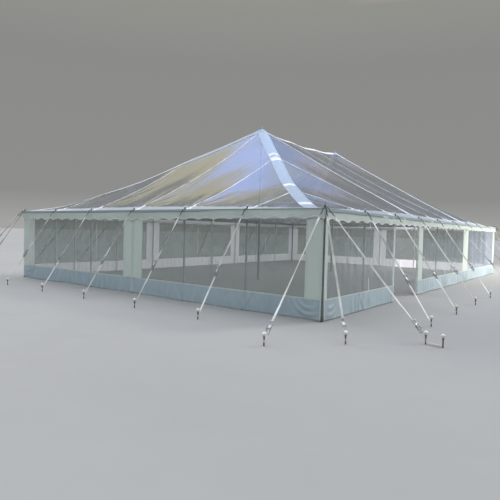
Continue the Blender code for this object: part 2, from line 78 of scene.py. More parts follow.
# %% [markdown]
# ## The camera
#
# The photograph was taken at eye height, near the corner by the doorway. A camera fitted to the corners,
# pole tops and peaks of the tent gives its place, its three angles and its focal length. The camera's
# matrix is built from those angles: it looks down its own -Z, with X to the right and Y up.

# %% The camera
CAMERA_PLACE = Vector((-17.9215, -10.8040, 1.8572))
CAMERA_YAW, CAMERA_PITCH, CAMERA_ROLL = 0.6470, -0.0392, 0.0251
PICTURE_WIDTH, FOCAL_LENGTH, SENSOR = 500, 472.88, 36.0  # pixels, pixels, millimetres

ahead = Vector((
    math.cos(CAMERA_PITCH) * math.cos(CAMERA_YAW),
    math.cos(CAMERA_PITCH) * math.sin(CAMERA_YAW),
    math.sin(CAMERA_PITCH),
))
level_right = ahead.cross(Vector((0, 0, 1))).normalized()
level_up = level_right.cross(ahead)
right = math.cos(CAMERA_ROLL) * level_right + math.sin(CAMERA_ROLL) * level_up
up = math.cos(CAMERA_ROLL) * level_up - math.sin(CAMERA_ROLL) * level_right

camera_data = bpy.data.cameras.new("photo_camera")
camera_data.sensor_width = SENSOR
camera_data.lens = SENSOR * FOCAL_LENGTH / PICTURE_WIDTH
camera_data.clip_end = 500
camera = bpy.data.objects.new("photo_camera", camera_data)
camera.matrix_world = Matrix.Translation(CAMERA_PLACE) @ Matrix((right, up, -ahead)).transposed().to_4x4()
bpy.context.collection.objects.link(camera)
bpy.context.scene.camera = camera
print(f"camera lens {camera_data.lens:.2f} mm")

# %% [markdown]
# ## Node helpers
#
# A material is a small tree of nodes. One helper adds a node and sets or links its inputs, so that each
# finish below reads as a list of what it is made of. Every texture is measured in metres on the object
# itself.

# %% Node helpers
def add(tree, kind, inputs=None, **settings):
    """A new node. An input that is a socket is linked, and any other value is set."""
    node = tree.nodes.new(kind)
    for key, value in settings.items():
        setattr(node, key, value)
    for name, value in (inputs or {}).items():
        if isinstance(value, bpy.types.NodeSocket):
            tree.links.new(value, node.inputs[name])
        else:
            node.inputs[name].default_value = value
    return node


def new_finish(name):
    """An empty material and its node tree."""
    finish = bpy.data.materials.new(name)
    finish.use_nodes = True
    finish.node_tree.nodes.clear()
    return finish, finish.node_tree


def finished(tree, surface):
    add(tree, "ShaderNodeOutputMaterial", {"Surface": surface})


def metres(tree, stretch=(1, 1, 1)):
    """The place of each point on the object, in metres, stretched along the axes."""
    place = add(tree, "ShaderNodeTexCoord").outputs["Object"]
    return add(tree, "ShaderNodeMapping", {"Vector": place, "Scale": stretch}).outputs["Vector"]


def cloudy(tree, place, scale, detail, rough=0.55, warp=0.0):
    """Soft noise from 0 to 1."""
    inputs = {"Vector": place, "Scale": scale, "Detail": detail, "Roughness": rough, "Distortion": warp}
    return add(tree, "ShaderNodeTexNoise", inputs).outputs["Fac"]


def ramp(tree, value, stops):
    """A colour ramp through (position, colour) stops."""
    node = add(tree, "ShaderNodeValToRGB", {"Fac": value})
    elements = node.color_ramp.elements
    while len(elements) < len(stops):
        elements.new(0.5)
    for element, (position, colour) in zip(elements, stops):
        element.position = position
        element.color = (*colour, 1)
    return node.outputs["Color"]


def ranged(tree, value, low, high, from_low=0.0, from_high=1.0):
    """A value moved from one range to another, and held inside it."""
    inputs = {"Value": value, "From Min": from_low, "From Max": from_high, "To Min": low, "To Max": high}
    return add(tree, "ShaderNodeMapRange", inputs).outputs["Result"]


def combined(tree, operation, first, second):
    return add(tree, "ShaderNodeMath", {0: first, 1: second}, operation=operation).outputs[0]


def vectors(tree, operation, first, second):
    return add(tree, "ShaderNodeVectorMath", {0: first, 1: second}, operation=operation)


def mixed(tree, share, first, second):
    """Two shaders mixed, by the second one's share."""
    return add(tree, "ShaderNodeMixShader", {"Fac": share, 1: first, 2: second}).outputs[0]


def bumped(tree, height, distance):
    inputs = {"Height": height, "Distance": distance, "Strength": 1.0}
    return add(tree, "ShaderNodeBump", inputs).outputs["Normal"]


# %% [markdown]
# ## Clear vinyl
#
# Window film is a see-through sheet with two things on it: a mirror-like gloss that grows as the eye grazes
# the surface, and a thin bloom of haze, dust and dried rain. A glass shader would bend the view, which a
# thin film doesn't do, and a Fresnel node takes the back of a sheet for the inside of solid glass. So this
# mixes a tinted Transparent shader with a Glossy one by how much the sheet is seen edge-on, which is the
# same from both sides, and lays a little pale scattering over both. A bump with the film's small waves
# breaks up the reflections.

# %% Clear vinyl
STRAIGHT_GLOSS, GRAZING_GLOSS = 0.10, 0.95  # what both faces mirror, seen straight on and at a glance
SHEEN = (0.88, 0.93, 1.0)  # the film's gloss is a touch blue


def gloss_share(tree, normal):
    """The share of light that a thin film mirrors, the same from both of its sides."""
    facing = add(tree, "ShaderNodeLayerWeight", {"Blend": 0.5, "Normal": normal}).outputs["Facing"]
    grazing = combined(tree, "POWER", facing, 4.0)
    return ranged(tree, grazing, STRAIGHT_GLOSS, GRAZING_GLOSS)


def clear_film(name, tint, bloom, wave, waves_per_metre, haze, gloss_rough, upright=1.0, streaky=0.6):
    """Clear sheet: its see-through tint, its bloom's colour, its small waves, and its least and most haze.

    upright and streaky say how far the waves and the bloom are drawn out up the sheet: less is longer.
    """
    finish, tree = new_finish(name)
    ripples = cloudy(tree, metres(tree, (1, 1, upright)), waves_per_metre, 2.0, 0.5, 0.8)
    normal = bumped(tree, ripples, wave)
    dust = cloudy(tree, metres(tree, (1.0, 1.0, streaky)), 0.9 / streaky**0.7, 6.0, 0.62, 0.3)
    specks = cloudy(tree, metres(tree), 46.0, 2.0, 0.7)
    clean = add(tree, "ShaderNodeBsdfTransparent", {"Color": (*tint, 1)}).outputs[0]
    mirror = add(
        tree, "ShaderNodeBsdfGlossy", {"Color": (*SHEEN, 1), "Roughness": gloss_rough, "Normal": normal}
    ).outputs[0]
    pale = ramp(tree, dust, [(0.25, tuple(c * 0.86 for c in bloom)), (0.75, bloom)])
    scatter = add(tree, "ShaderNodeBsdfDiffuse", {"Color": pale, "Normal": normal}).outputs[0]
    glow = add(tree, "ShaderNodeBsdfTranslucent", {"Color": pale}).outputs[0]
    haze_share = ranged(tree, dust, *haze, 0.3, 0.8)
    amount = combined(tree, "ADD", haze_share, ranged(tree, specks, 0, 0.05, 0.62, 0.8))
    hazy = mixed(tree, amount, clean, mixed(tree, 0.5, scatter, glow))
    finished(tree, mixed(tree, gloss_share(tree, normal), hazy, mirror))
    return finish


ROOF_FILM = clear_film(
    "roof_film", (0.61, 0.62, 0.62), (0.66, 0.69, 0.72), 0.010, 1.4, (0.03, 0.13), 0.15
)
WALL_FILM = clear_film(
    "wall_film", (0.55, 0.58, 0.55), (0.66, 0.69, 0.69), 0.010, 3.5, (0.02, 0.10), 0.10, 0.15, 0.3
)
HAZY_FILM = clear_film(
    "hazy_film", (0.56, 0.60, 0.64), (0.70, 0.78, 0.90), 0.014, 3.5, (0.10, 0.75), 0.14, 0.12, 0.12
)
print("clear films:", ROOF_FILM.name, WALL_FILM.name, HAZY_FILM.name)

# %% [markdown]
# ## White vinyl and the other cloths
#
# The white parts are a polyester scrim coated with vinyl: satin, a little translucent, and dusty where rain
# dries. The scrim's threads show through the coat as a faint grid, made here from two crossed wave
# textures. Light from behind comes through a Translucent shader, which makes the skirts glow where the sun
# is on them.

# %% White vinyl
SCRIM_THREADS = 420  # threads per metre
THREAD_DEPTH = 0.0002
FULL_TONE_FROM = EAVE + 1.9  # the roof bands are darker and warmer below this height


def thread_grid(tree, place):
    """Crossed threads in the three planes, so that it shows on walls and roof alike."""
    total = None
    scale = SCRIM_THREADS / (2 * math.pi) / 10
    for axis in ("X", "Y", "Z"):
        inputs = {"Vector": place, "Scale": scale, "Distortion": 0.3, "Detail": 1.0}
        wave = add(tree, "ShaderNodeTexWave", inputs, bands_direction=axis).outputs["Fac"]
        total = wave if total is None else combined(tree, "ADD", total, wave)
    return total


def coated_cloth(
    name, colour, grime, glow, rough=0.40, crease=0.004, glow_colour=None, faded=None, low_tone=None
):
    """White coated fabric. glow is the share of light that comes through it.

    faded is how much of a worn tape is still there, as (least, most). The last argument is a darker, warmer
    tone for its low parts, which fades out going up.
    """
    finish, tree = new_finish(name)
    place = metres(tree)
    dust = cloudy(tree, metres(tree, (1, 1, 0.45)), 1.7, 7.0, 0.62, 0.4)
    streaks = cloudy(tree, metres(tree, (5, 5, 0.5)), 2.2, 4.0, 0.6)
    dirt = combined(tree, "MULTIPLY", dust, streaks)
    tone = ramp(tree, dirt, [(0.12, colour), (0.30, colour), (0.62, grime)])
    # Darker and warmer towards the eave, less so up to the height above.
    if low_tone:
        height = add(tree, "ShaderNodeSeparateXYZ", {"Vector": place}).outputs["Z"]
        full_tone_share = ranged(tree, height, 0.0, 1.0, EAVE, FULL_TONE_FROM)
        shade = ramp(tree, full_tone_share, [(0.0, low_tone), (1.0, (1, 1, 1))])
        tone = vectors(tree, "MULTIPLY", tone, shade).outputs[0]
    soft = cloudy(tree, metres(tree, (1, 1, 0.7)), 5.0, 4.0, 0.55, 0.6)
    coarse = bumped(tree, soft, crease)
    threads = {"Height": thread_grid(tree, place), "Distance": THREAD_DEPTH, "Normal": coarse}
    inputs = {
        "Base Color": tone,
        "Roughness": ranged(tree, dust, rough - 0.06, rough + 0.12),
        "Normal": add(tree, "ShaderNodeBump", threads).outputs["Normal"],
    }
    body = add(tree, "ShaderNodeBsdfPrincipled", inputs).outputs[0]
    light = {"Color": (*(glow_colour or colour), 1), "Normal": coarse}
    cloth = mixed(tree, glow, body, add(tree, "ShaderNodeBsdfTranslucent", light).outputs[0])
    if faded:
        patches = cloudy(tree, metres(tree, (1, 1, 1.6)), 1.3, 4.0, 0.65, 0.5)
        clear = add(tree, "ShaderNodeBsdfTransparent").outputs[0]
        cloth = mixed(tree, ranged(tree, patches, *faded, 0.36, 0.62), clear, cloth)
    finished(tree, cloth)
    return finish


# The near walls, valances and seams: white vinyl whose green-grey colour and green glow are painted shade and
# painted green bounce light.
SHADED_WALL_VINYL = coated_cloth(
    "wall_vinyl", (0.80, 0.86, 0.80), (0.58, 0.65, 0.60), 0.30, glow_colour=(0.80, 0.90, 0.80)
)
# The near skirts: a darker, cooler copy of the white vinyl, which is painted shade.
SHADED_SKIRT_VINYL = coated_cloth(
    "shaded_skirt_cloth", (0.58, 0.67, 0.70), (0.40, 0.47, 0.50), 0.30, 0.38, 0.008, (0.64, 0.75, 0.80)
)
# The far walls: a whiter copy of the same vinyl that lets twice the light through, which paints the sun on
# them.
SUNLIT_FAR_VINYL = coated_cloth(
    "sunlit_far_cloth", (0.86, 0.86, 0.88), (0.70, 0.70, 0.70), 0.60, glow_colour=(0.98, 0.96, 0.99)
)
# The top hems: a whiter copy of the wall vinyl that lets twice the light through, a painted glow.
GLOWING_HEM_VINYL = coated_cloth(
    "glowing_hem_cloth", (0.88, 0.89, 0.90), (0.68, 0.70, 0.68), 0.62, glow_colour=(0.96, 0.96, 0.97)
)
# The roof bands and caps are white vinyl; this darker grey-blue colour is painted sky light and shade on
# them.
SKY_TINTED_ROOF_VINYL = coated_cloth(
    "sky_tinted_roof_cloth", (0.465, 0.575, 0.715), (0.42, 0.52, 0.64), 0.12, 0.30, low_tone=(0.90, 0.86, 0.78)
)
# The border is white vinyl; its dark grey-blue colour is painted shade.
SHADED_BORDER_VINYL = coated_cloth("border_vinyl", (0.44, 0.49, 0.52), (0.35, 0.38, 0.39), 0.14, 0.30)
# One hip's band is a darker grey than the others.
GREY_BAND = coated_cloth("grey_band", (0.50, 0.53, 0.52), (0.38, 0.40, 0.38), 0.10, 0.45)
TAPE_VINYL = coated_cloth("seam_tape", (0.95, 0.95, 0.96), (0.86, 0.87, 0.89), 0.08, 0.25, 0.002)
FADED_TAPE = coated_cloth(
    "faded_tape", (0.95, 0.95, 0.96), (0.86, 0.87, 0.89), 0.08, 0.25, 0.002, faded=(0.25, 0.97)
)
FLAP_VINYL = coated_cloth(
    "flap_vinyl", (0.95, 0.96, 1.0), (0.84, 0.86, 0.93), 0.15, 0.30, 0.004, faded=(0.88, 1.0)
)
# The far sides take the lit copy of the cloth and the near sides the shaded copies, so light and shade are
# painted by side.
FAR_SIDES = ("back", "right")
WALL_CLOTHS = {side: SUNLIT_FAR_VINYL if side in FAR_SIDES else SHADED_WALL_VINYL for side in RUN_SIDES}
SKIRT_CLOTHS = {side: SUNLIT_FAR_VINYL if side in FAR_SIDES else SHADED_SKIRT_VINYL for side in RUN_SIDES}
print("white cloths:", SHADED_WALL_VINYL.name, SHADED_SKIRT_VINYL.name, SKY_TINTED_ROOF_VINYL.name, TAPE_VINYL.name)

# %% [markdown]
# ## Webbing, rope and metal
#
# The straps are 40 mm polyester webbing, woven in a fine twill with a thicker edge. Its texture reads UV
# coordinates, but the strap meshes are made without a UV map. The ropes are laid from strands, which are
# modelled, so their finish only needs fibres. The metals differ in how bright and how worn they are.

# %% Webbing, rope and metal
UNEVEN = 0.06  # how far a metal's or rope's roughness goes either way


def woven_strap(name, colour, worn):
    finish, tree = new_finish(name)
    across = add(tree, "ShaderNodeTexCoord").outputs["UV"]
    inputs = {"Vector": across, "Scale": 26.0, "Distortion": 0.4, "Detail": 1.0}
    twill = add(tree, "ShaderNodeTexWave", inputs, bands_direction="DIAGONAL").outputs["Fac"]
    fuzz = cloudy(tree, metres(tree), 90.0, 3.0)
    wear = cloudy(tree, metres(tree), 1.1, 5.0, 0.6)
    tone = ramp(tree, wear, [(0.40, colour), (0.60, worn)])
    height = combined(tree, "ADD", twill, fuzz)
    normal = bumped(tree, height, 0.0006)
    inputs = {"Base Color": tone, "Roughness": 0.82, "Normal": normal, "Sheen Weight": 0.25}
    finished(tree, add(tree, "ShaderNodeBsdfPrincipled", inputs).outputs[0])
    return finish


def plain_finish(name, colour, worn, rough, metallic, scale, depth=0.0005):
    """A metal, rope or plastic with worn patches and an uneven gloss."""
    finish, tree = new_finish(name)
    wear = cloudy(tree, metres(tree), scale, 5.0, 0.6, 0.3)
    fine = cloudy(tree, metres(tree), scale * 12, 3.0, 0.6)
    inputs = {
        "Base Color": ramp(tree, wear, [(0.38, colour), (0.70, worn)]),
        "Roughness": ranged(tree, fine, rough - UNEVEN, rough + UNEVEN, 0.3, 0.7),
        "Normal": bumped(tree, fine, depth),
        "Metallic": metallic,
    }
    finished(tree, add(tree, "ShaderNodeBsdfPrincipled", inputs).outputs[0])
    return finish


STRAP = woven_strap("strap_webbing", (0.88, 0.87, 0.80), (0.46, 0.45, 0.37))
DARK_ROPE = plain_finish("dark_rope", (0.030, 0.045, 0.045), (0.07, 0.085, 0.08), 0.80, 0.0, 30.0, 0.001)
# The rim rope's dark grey-green is also painted shade: the line of shadow under the border's roll.
EDGE_ROPE_AND_SHADE = plain_finish("edge_rope_and_shade", (0.15, 0.20, 0.21), (0.26, 0.31, 0.31), 0.70, 0.0, 30.0, 0.001)
PALE_ROPE = plain_finish("pale_rope", (0.84, 0.84, 0.82), (0.66, 0.65, 0.62), 0.85, 0.0, 30.0, 0.001)
POLE_METAL = plain_finish("pole_aluminium", (0.80, 0.83, 0.81), (0.60, 0.62, 0.60), 0.42, 0.2, 4.0, 0.0004)
# The corner poles are the same aluminium as the side poles, made nearly black: painted shade between the two
# walls.
SHADED_CORNER_METAL = plain_finish(
    "shaded_corner_aluminium", (0.10, 0.13, 0.135), (0.16, 0.19, 0.19), 0.55, 0.2, 4.0, 0.0004
)
# The masts are the same aluminium, given a darker grey: painted shade inside the tent.
SHADED_MAST_METAL = plain_finish("mast_aluminium", (0.52, 0.53, 0.52), (0.42, 0.43, 0.42), 0.60, 0.1, 4.0, 0.0004)
STEEL = plain_finish("zinc_steel", (0.56, 0.57, 0.58), (0.36, 0.35, 0.33), 0.38, 0.85, 25.0)
STAKE_STEEL = plain_finish("stake_steel", (0.20, 0.19, 0.18), (0.16, 0.09, 0.05), 0.62, 0.7, 18.0, 0.001)
BALL_PLASTIC = plain_finish("ball_plastic", (0.86, 0.87, 0.84), (0.66, 0.66, 0.60), 0.45, 0.0, 14.0, 0.0003)
print("small finishes:", STRAP.name, DARK_ROPE.name, POLE_METAL.name, STEEL.name, BALL_PLASTIC.name)

# %% [markdown]
# ## Mesh helpers
#
# Most of a tent is sheets. A sheet here is a grid of quads, and a small function gives the place of each of
# its points. Everything else is tubes, ribbons and turned shapes. A shape is a pair of lists, points and
# faces, so that many small pieces can be moved into place and joined before they become one object.

# %% Mesh helpers
def grid(columns, rows, place):
    """A sheet of quads. place(u, v) gives the point for u across and v along, from 0 to 1."""
    points = [place(c / columns, r / rows) for r in range(rows + 1) for c in range(columns + 1)]
    across = columns + 1
    faces = [
        (r * across + c, r * across + c + 1, (r + 1) * across + c + 1, (r + 1) * across + c)
        for r in range(rows)
        for c in range(columns)
    ]
    return points, faces


def moved(shape, matrix):
    points, faces = shape
    return [matrix @ Vector(point) for point in points], faces


def joined(shapes):
    points, faces = [], []
    for more_points, more_faces in shapes:
        start = len(points)
        points += more_points
        faces += [tuple(start + index for index in face) for face in more_faces]
    return points, faces


def frames_along(points, side=None):
    """For each point of a line, its place and two directions across it that turn as little as they can."""
    points = [Vector(point) for point in points]
    found = []
    for index, point in enumerate(points):
        before, after = points[max(0, index - 1)], points[min(len(points) - 1, index + 1)]
        forward = (after - before).normalized()
        if side is None:
            side = forward.orthogonal()
        side = (side - forward * side.dot(forward)).normalized()
        found.append((point, side, forward.cross(side)))
    return found


def circle(sides):
    """The cosine and sine of each of the equal turns round a circle."""
    turns = [2 * math.pi * s / sides for s in range(sides)]
    return [(math.cos(turn), math.sin(turn)) for turn in turns]


def tube(points, radius, sides):
    """A round bar along a line, with closed ends."""
    return lofted([
        [place + radius * (c * a + s * b) for c, s in circle(sides)] for place, a, b in frames_along(points)
    ])


def lofted(rings):
    """A skin over equal rings of points, closed at both ends."""
    count = len(rings[0])
    points = [point for ring in rings for point in ring]
    faces = [
        (i * count + s, i * count + (s + 1) % count, (i + 1) * count + (s + 1) % count, (i + 1) * count + s)
        for i in range(len(rings) - 1)
        for s in range(count)
    ]
    faces.append(tuple(reversed(range(count))))
    last = (len(rings) - 1) * count
    faces.append(tuple(range(last, last + count)))
    return points, faces


def ribbon(points, side, width, thick, twist=0.0):
    """A flat strap along a line, its width along the side direction. It turns by twist at its middle."""
    rings = []
    last = len(points) - 1
    for index, (place, a, b) in enumerate(frames_along(points, Vector(side))):
        turn = twist * math.sin(math.pi * index / last) ** 2
        across = (math.cos(turn) * a + math.sin(turn) * b) * width / 2
        lift = (math.cos(turn) * b - math.sin(turn) * a) * thick / 2
        low, high = place - lift, place + lift
        rings.append([low - across, low + across, high + across, high - across])
    return lofted(rings)


def turned(profile, sides):
    """A solid turned about Z from (radius, height) points that run from its lowest to its highest."""
    return lofted([[Vector((r * c, r * s, z)) for c, s in circle(sides)] for r, z in profile])


def bar(length, width, height):
    """A flat bar centred on the origin."""
    x, y, z = length / 2, width / 2, height / 2
    corners = [(-y, -z), (y, -z), (y, z), (-y, z)]
    return lofted([[Vector((end, a, b)) for a, b in corners] for end in (-x, x)])


def ring(radius, thick, sides=20, around=8):
    """A closed ring of round bar, lying flat."""
    points = [
        Vector(((radius + thick * c) * x, (radius + thick * c) * y, thick * s))
        for x, y in circle(sides)
        for c, s in circle(around)
    ]
    faces = []
    for here in range(sides):
        ahead = (here + 1) % sides
        for a in range(around):
            b = (a + 1) % around
            faces.append(tuple(i * around + j for i, j in ((here, a), (ahead, a), (ahead, b), (here, b))))
    return points, faces


def bolts(place, reach, profile, sides):
    """Four bolt heads round a place."""
    heads = []
    for turn in range(4):
        angle = math.pi / 4 + turn * math.pi / 2
        spot = Vector((reach * math.cos(angle), reach * math.sin(angle), 0))
        heads.append(moved(turned(profile, sides), Matrix.Translation(Vector(place) + spot)))
    return heads


def piece(name, shape, finish, slot, replaces=(), smooth=True):
    """The shape as an object on the tent's one body, standing for the CAD nodes that it replaces."""
    mesh = bpy.data.meshes.new(name)
    mesh.from_pydata(shape[0], [], shape[1])
    mesh.materials.append(finish)
    if smooth:
        mesh.shade_smooth()
        mesh.set_sharp_from_angle(angle=math.radians(42))
    obj = bpy.data.objects.new(name, mesh)
    bpy.context.collection.objects.link(obj)
    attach(obj, "root")
    if replaces:
        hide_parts(*replaces)
    return obj


def sheet(obj, flat, rests_on, thick=None):
    """Print a sheet's size as it was cut, and give it the thickness of real vinyl.

    A number for flat is the width of strips that were cut and laid end to end.
    """
    area = sum(face.area for face in obj.data.polygons)
    if not isinstance(flat, tuple):
        flat = (flat, area / flat)
    if thick:
        solid = obj.modifiers.new("vinyl", "SOLIDIFY")
        solid.thickness = thick
        solid.offset = 0
    print(f"{obj.name}: {flat[0]:.2f} x {flat[1]:.2f} m, {area:.1f} m2 of sheet")


print("a bar has", len(bar(1, 1, 1)[1]), "faces")

# %% [markdown]
# ## The shape of the roof
#
# A tensioned roof is nearly straight from the eave to the ridge, and it hangs a little below straight on
# the hips and in the middle of each face. The heights below are those of the CAD's roof. On top of them
# comes the slack that only the eye can see: each strip between two seams sags, creases fan out from every
# pole pin, and the film drifts in slow waves.

# %% The taut roof
EAVE_IN = 0.030  # the roof is level out to this far in from the pole line
RIDGE_DIP, LACE_DIP, MIDDLE_DIP, END_DIP = 0.15, 0.05, 0.12, 0.23
HIP_DIPS = {(-1, -1): 0.52, (-1, 1): 0.36, (1, -1): 0.45, (1, 1): 0.45}
HIP_DIP_SKEW = 1.7


def dip_shape(s):
    return 4 * s * (1 - s)


def hip_dip_shape(s):
    deepest = 1 / (1 + HIP_DIP_SKEW)
    scale = deepest * (1 - deepest) ** HIP_DIP_SKEW
    return s * (1 - s) ** HIP_DIP_SKEW / scale


def roof_height(x, y):
    """Height of the taut roof's underside over a point of the plan."""
    from_end = HALF_LENGTH - abs(x)
    from_side = HALF_WIDTH - abs(y)
    inward = min(from_end, from_side)
    if inward <= EAVE_IN:
        return EAVE
    s = min(1.0, (inward - EAVE_IN) / (HALF_WIDTH - EAVE_IN))
    width = max(HALF_WIDTH - inward, 1e-6)
    top = PEAK
    hip_dip = HIP_DIPS[math.copysign(1, x), math.copysign(1, y)] * hip_dip_shape(s)
    if from_end < from_side:
        middle_dip = END_DIP * dip_shape(s)
        dip = middle_dip + (hip_dip - middle_dip) * (abs(y) / width) ** 2
    elif abs(x) > PEAK_X:
        middle_dip = LACE_DIP * dip_shape(s)
        across = min(1.0, (abs(x) - PEAK_X) / width)
        dip = middle_dip + (hip_dip - middle_dip) * across**2
    else:
        hang = 1 - (x / PEAK_X) ** 2
        top = PEAK - RIDGE_DIP * hang
        dip = (LACE_DIP + (MIDDLE_DIP - LACE_DIP) * hang) * dip_shape(s)
    return EAVE + (top - EAVE) * s - dip


print(f"taut roof halfway up a hip: {roof_height(HALF_LENGTH - HALF_WIDTH / 2, HALF_WIDTH / 2):.3f} m")

# %% The slack in it
STRIP_SAG = 0.034
LONG_WAVES = 0.35  # waves per metre along a strip
FAN_DEPTH, FAN_CREASES, FAN_REACH = 0.013, 16, 0.55
DRIFT, DRIFT_PER_METRE = 0.018, 0.8
STREAK, STREAKS_PER_METRE = 0.007, 3.1


def eased(value, low, high):
    """0 below low, 1 above high, and a smooth step between."""
    share = min(1.0, max(0.0, (value - low) / (high - low)))
    return share * share * (3 - 2 * share)


def noise_at(x, y, z):
    """Smooth waves between about -1 and 1, the same on each run."""
    return noise.noise(Vector((x, y, z)))


def roof_slack(x, y):
    """How far the slack vinyl lies above or below the taut roof."""
    from_end, from_side = HALF_LENGTH - abs(x), HALF_WIDTH - abs(y)
    on_end = from_end < from_side
    inward = max(0.0, min(from_end, from_side))
    strip = (y + HALF_WIDTH if on_end else x + HALF_LENGTH) / BAY
    aside = (strip - round(strip)) * BAY
    free = eased(inward, 0.10, 0.70)
    sag = -STRIP_SAG * math.sin(math.pi * strip) ** 2 * free
    reach = math.hypot(aside, inward)
    pulled = math.cos(math.pi * aside / BAY) ** 2 * (reach / FAN_REACH) * math.exp(1 - reach / FAN_REACH)
    fan = FAN_DEPTH * math.cos(FAN_CREASES * math.atan2(aside, inward)) * pulled * eased(inward, 0.03, 0.25)
    drift = DRIFT * noise.noise(Vector((x, y, 3.0)) * DRIFT_PER_METRE) * free
    ripple = (x * LONG_WAVES, y * STREAKS_PER_METRE) if on_end else (x * STREAKS_PER_METRE, y * LONG_WAVES)
    streak = STREAK * noise_at(*ripple, 8) * free
    return sag + fan + drift + streak * eased(abs(from_end - from_side), 0.0, 0.6)


def on_roof(x, y, lift=0.0):
    """A point on the vinyl, lifted off its middle."""
    return Vector((x, y, roof_height(x, y) + VINYL / 2 + roof_slack(x, y) + lift))


print(f"roof at a lace line's middle: {on_roof(PEAK_X, HALF_WIDTH / 2).z:.3f} m")

# %% [markdown]
# ## The clear roof
#
# The roof is made in sections that are laced together at the masts: an end piece with its hips at each end,
# and a middle piece between the lace lines. Each face of a section is one clear sheet. Its grid follows the
# cut of the sheet: rows run level, and every row is as wide as the face is at that height, so the edges
# come out clean along the hips. The sheets are single skins, because real film is half a millimetre thick
# and shows no edge.

# %% Clear roof sheets
BORDER_IN = 0.30
HIP_BAND = 0.36
RIDGE_BAND = 0.30
TUCK = 0.02  # how far a clear sheet runs on under the white bands
CELL = 0.072
FILM_TOP = HALF_WIDTH - 0.12


def hip_edge(inward):
    """How far the clear sheet reaches along the eave from the face's middle, at a distance in from an end."""
    return HALF_WIDTH - inward - HIP_BAND / 2 * math.sqrt(2) + TUCK


def end_film(side):
    sign = SIGNS[side]

    def place(u, v):
        inward = BORDER_IN - TUCK + v * (FILM_TOP - BORDER_IN)
        return on_roof(sign * (HALF_LENGTH - inward), (2 * u - 1) * max(hip_edge(inward), 0.02))

    return grid(round(2 * HALF_WIDTH / CELL), round(HALF_WIDTH / CELL), place)


def side_film(side, section):
    sign = SIGNS[side]

    def place(u, v):
        inward = BORDER_IN - TUCK + v * (FILM_TOP + 0.02 - BORDER_IN)
        if section == "middle":
            x = (2 * u - 1) * PEAK_X
        else:
            x = SIGNS[section] * (PEAK_X + u * max(hip_edge(inward), 0.01))
        return on_roof(x, sign * (HALF_WIDTH - inward))

    return grid(round(HALF_WIDTH / CELL), round(HALF_WIDTH / CELL), place)


slope = math.hypot(HALF_WIDTH, PEAK - EAVE)
for side in ("left", "right"):
    film = piece(f"roof_film_{side}", end_film(side), ROOF_FILM, "clear_vinyl", [f"clear_roof_{side}"])
    sheet(film, (2 * HALF_WIDTH, slope), [f"mast_{side}", f"side_poles_{side}"])
for side in ("front", "back"):
    for section in ("left", "middle", "right"):
        name = f"{side}_{section}"
        shape = side_film(side, section)
        film = piece(f"roof_film_{name}", shape, ROOF_FILM, "clear_vinyl", [f"clear_roof_{name}"])
        sheet(film, (HALF_WIDTH, slope), ["mast_left", "mast_right", f"side_poles_{side}"])

# %% [markdown]
# ## Seam tapes and lace lines
#
# Clear film comes in narrow rolls, so every strip is welded to the next under a white tape, and the tape
# runs from a pole pin up to the hip or the ridge. Where two sections meet, a flap covers rope loops laced
# through each other. Tapes and flaps are narrow grids on the same roof, lifted a little more for each
# layer.

# %% Seam tapes
TAPE_WIDTH = 0.055
TAPE_CELL = 0.07
TAPE_LIFT, BAND_LIFT, PATCH_LIFT = 0.0020, 0.0040, 0.0060


def tape_on_end(side, y):
    """A tape up an end face, from the border to the hip, or to the cap on the middle seam."""
    sign = SIGNS[side]
    top = min(HALF_WIDTH - abs(y) - HIP_BAND / 2, HALF_WIDTH - 0.2)

    def place(u, v):
        inward = BORDER_IN - TUCK + v * (top - BORDER_IN + TUCK)
        return on_roof(sign * (HALF_LENGTH - inward), y + (u - 0.5) * TAPE_WIDTH, TAPE_LIFT)

    return grid(2, max(8, round(top / TAPE_CELL)), place)


def tape_on_side(side, x, width=TAPE_WIDTH, lift=TAPE_LIFT, low=BORDER_IN - TUCK):
    """A tape up a long face, from the border to the hip, or to the ridge in the middle section."""
    sign = SIGNS[side]
    if abs(x) > PEAK_X + 0.01:
        top = HALF_LENGTH - abs(x) - HIP_BAND / 2
    else:
        top = HALF_WIDTH - (RIDGE_BAND / 2 - TUCK if abs(x) < PEAK_X - 0.01 else 0.22)

    def place(u, v):
        inward = low + v * (top - low)
        return on_roof(x + (u - 0.5) * width, sign * (HALF_WIDTH - inward), lift)

    return grid(2 if width == TAPE_WIDTH else 4, max(8, round(top / TAPE_CELL)), place)


def seam_places(half):
    """The poles along an eave, without its corners."""
    count = round(2 * half / BAY)
    return [-half + bay * BAY for bay in range(1, count)]


for side in ("left", "right"):
    seams = seam_places(HALF_WIDTH)
    shape = joined(tape_on_end(side, y) for y in seams)
    tape = piece(f"seam_tapes_{side}", shape, FADED_TAPE, "white_vinyl")
    sheet(tape, (TAPE_WIDTH * len(seams), slope), [f"roof_film_{side}"], thick=THIN)
for side in ("front", "back"):
    seams = [x for x in seam_places(HALF_LENGTH) if abs(abs(x) - PEAK_X) > 0.01]
    shape = joined(tape_on_side(side, x) for x in seams)
    tape = piece(f"seam_tapes_{side}", shape, FADED_TAPE, "white_vinyl")
    sheet(tape, (TAPE_WIDTH * len(seams), slope), [f"roof_film_{side}_middle"], thick=THIN)

# %% Lace lines
FLAP_WIDTH = 0.15
FLAP_LIFT = 0.0085
FLAP_SPARE = 0.4  # the flap is cut longer than the slope, to go over the eave
LOOP_STEP, LOOP_WIDTH, LOOP_ROPE = 0.24, 0.016, 0.004
LOOPS_FROM, LOOPS_TO = 0.10, HALF_WIDTH - 0.6  # distances in from the eave


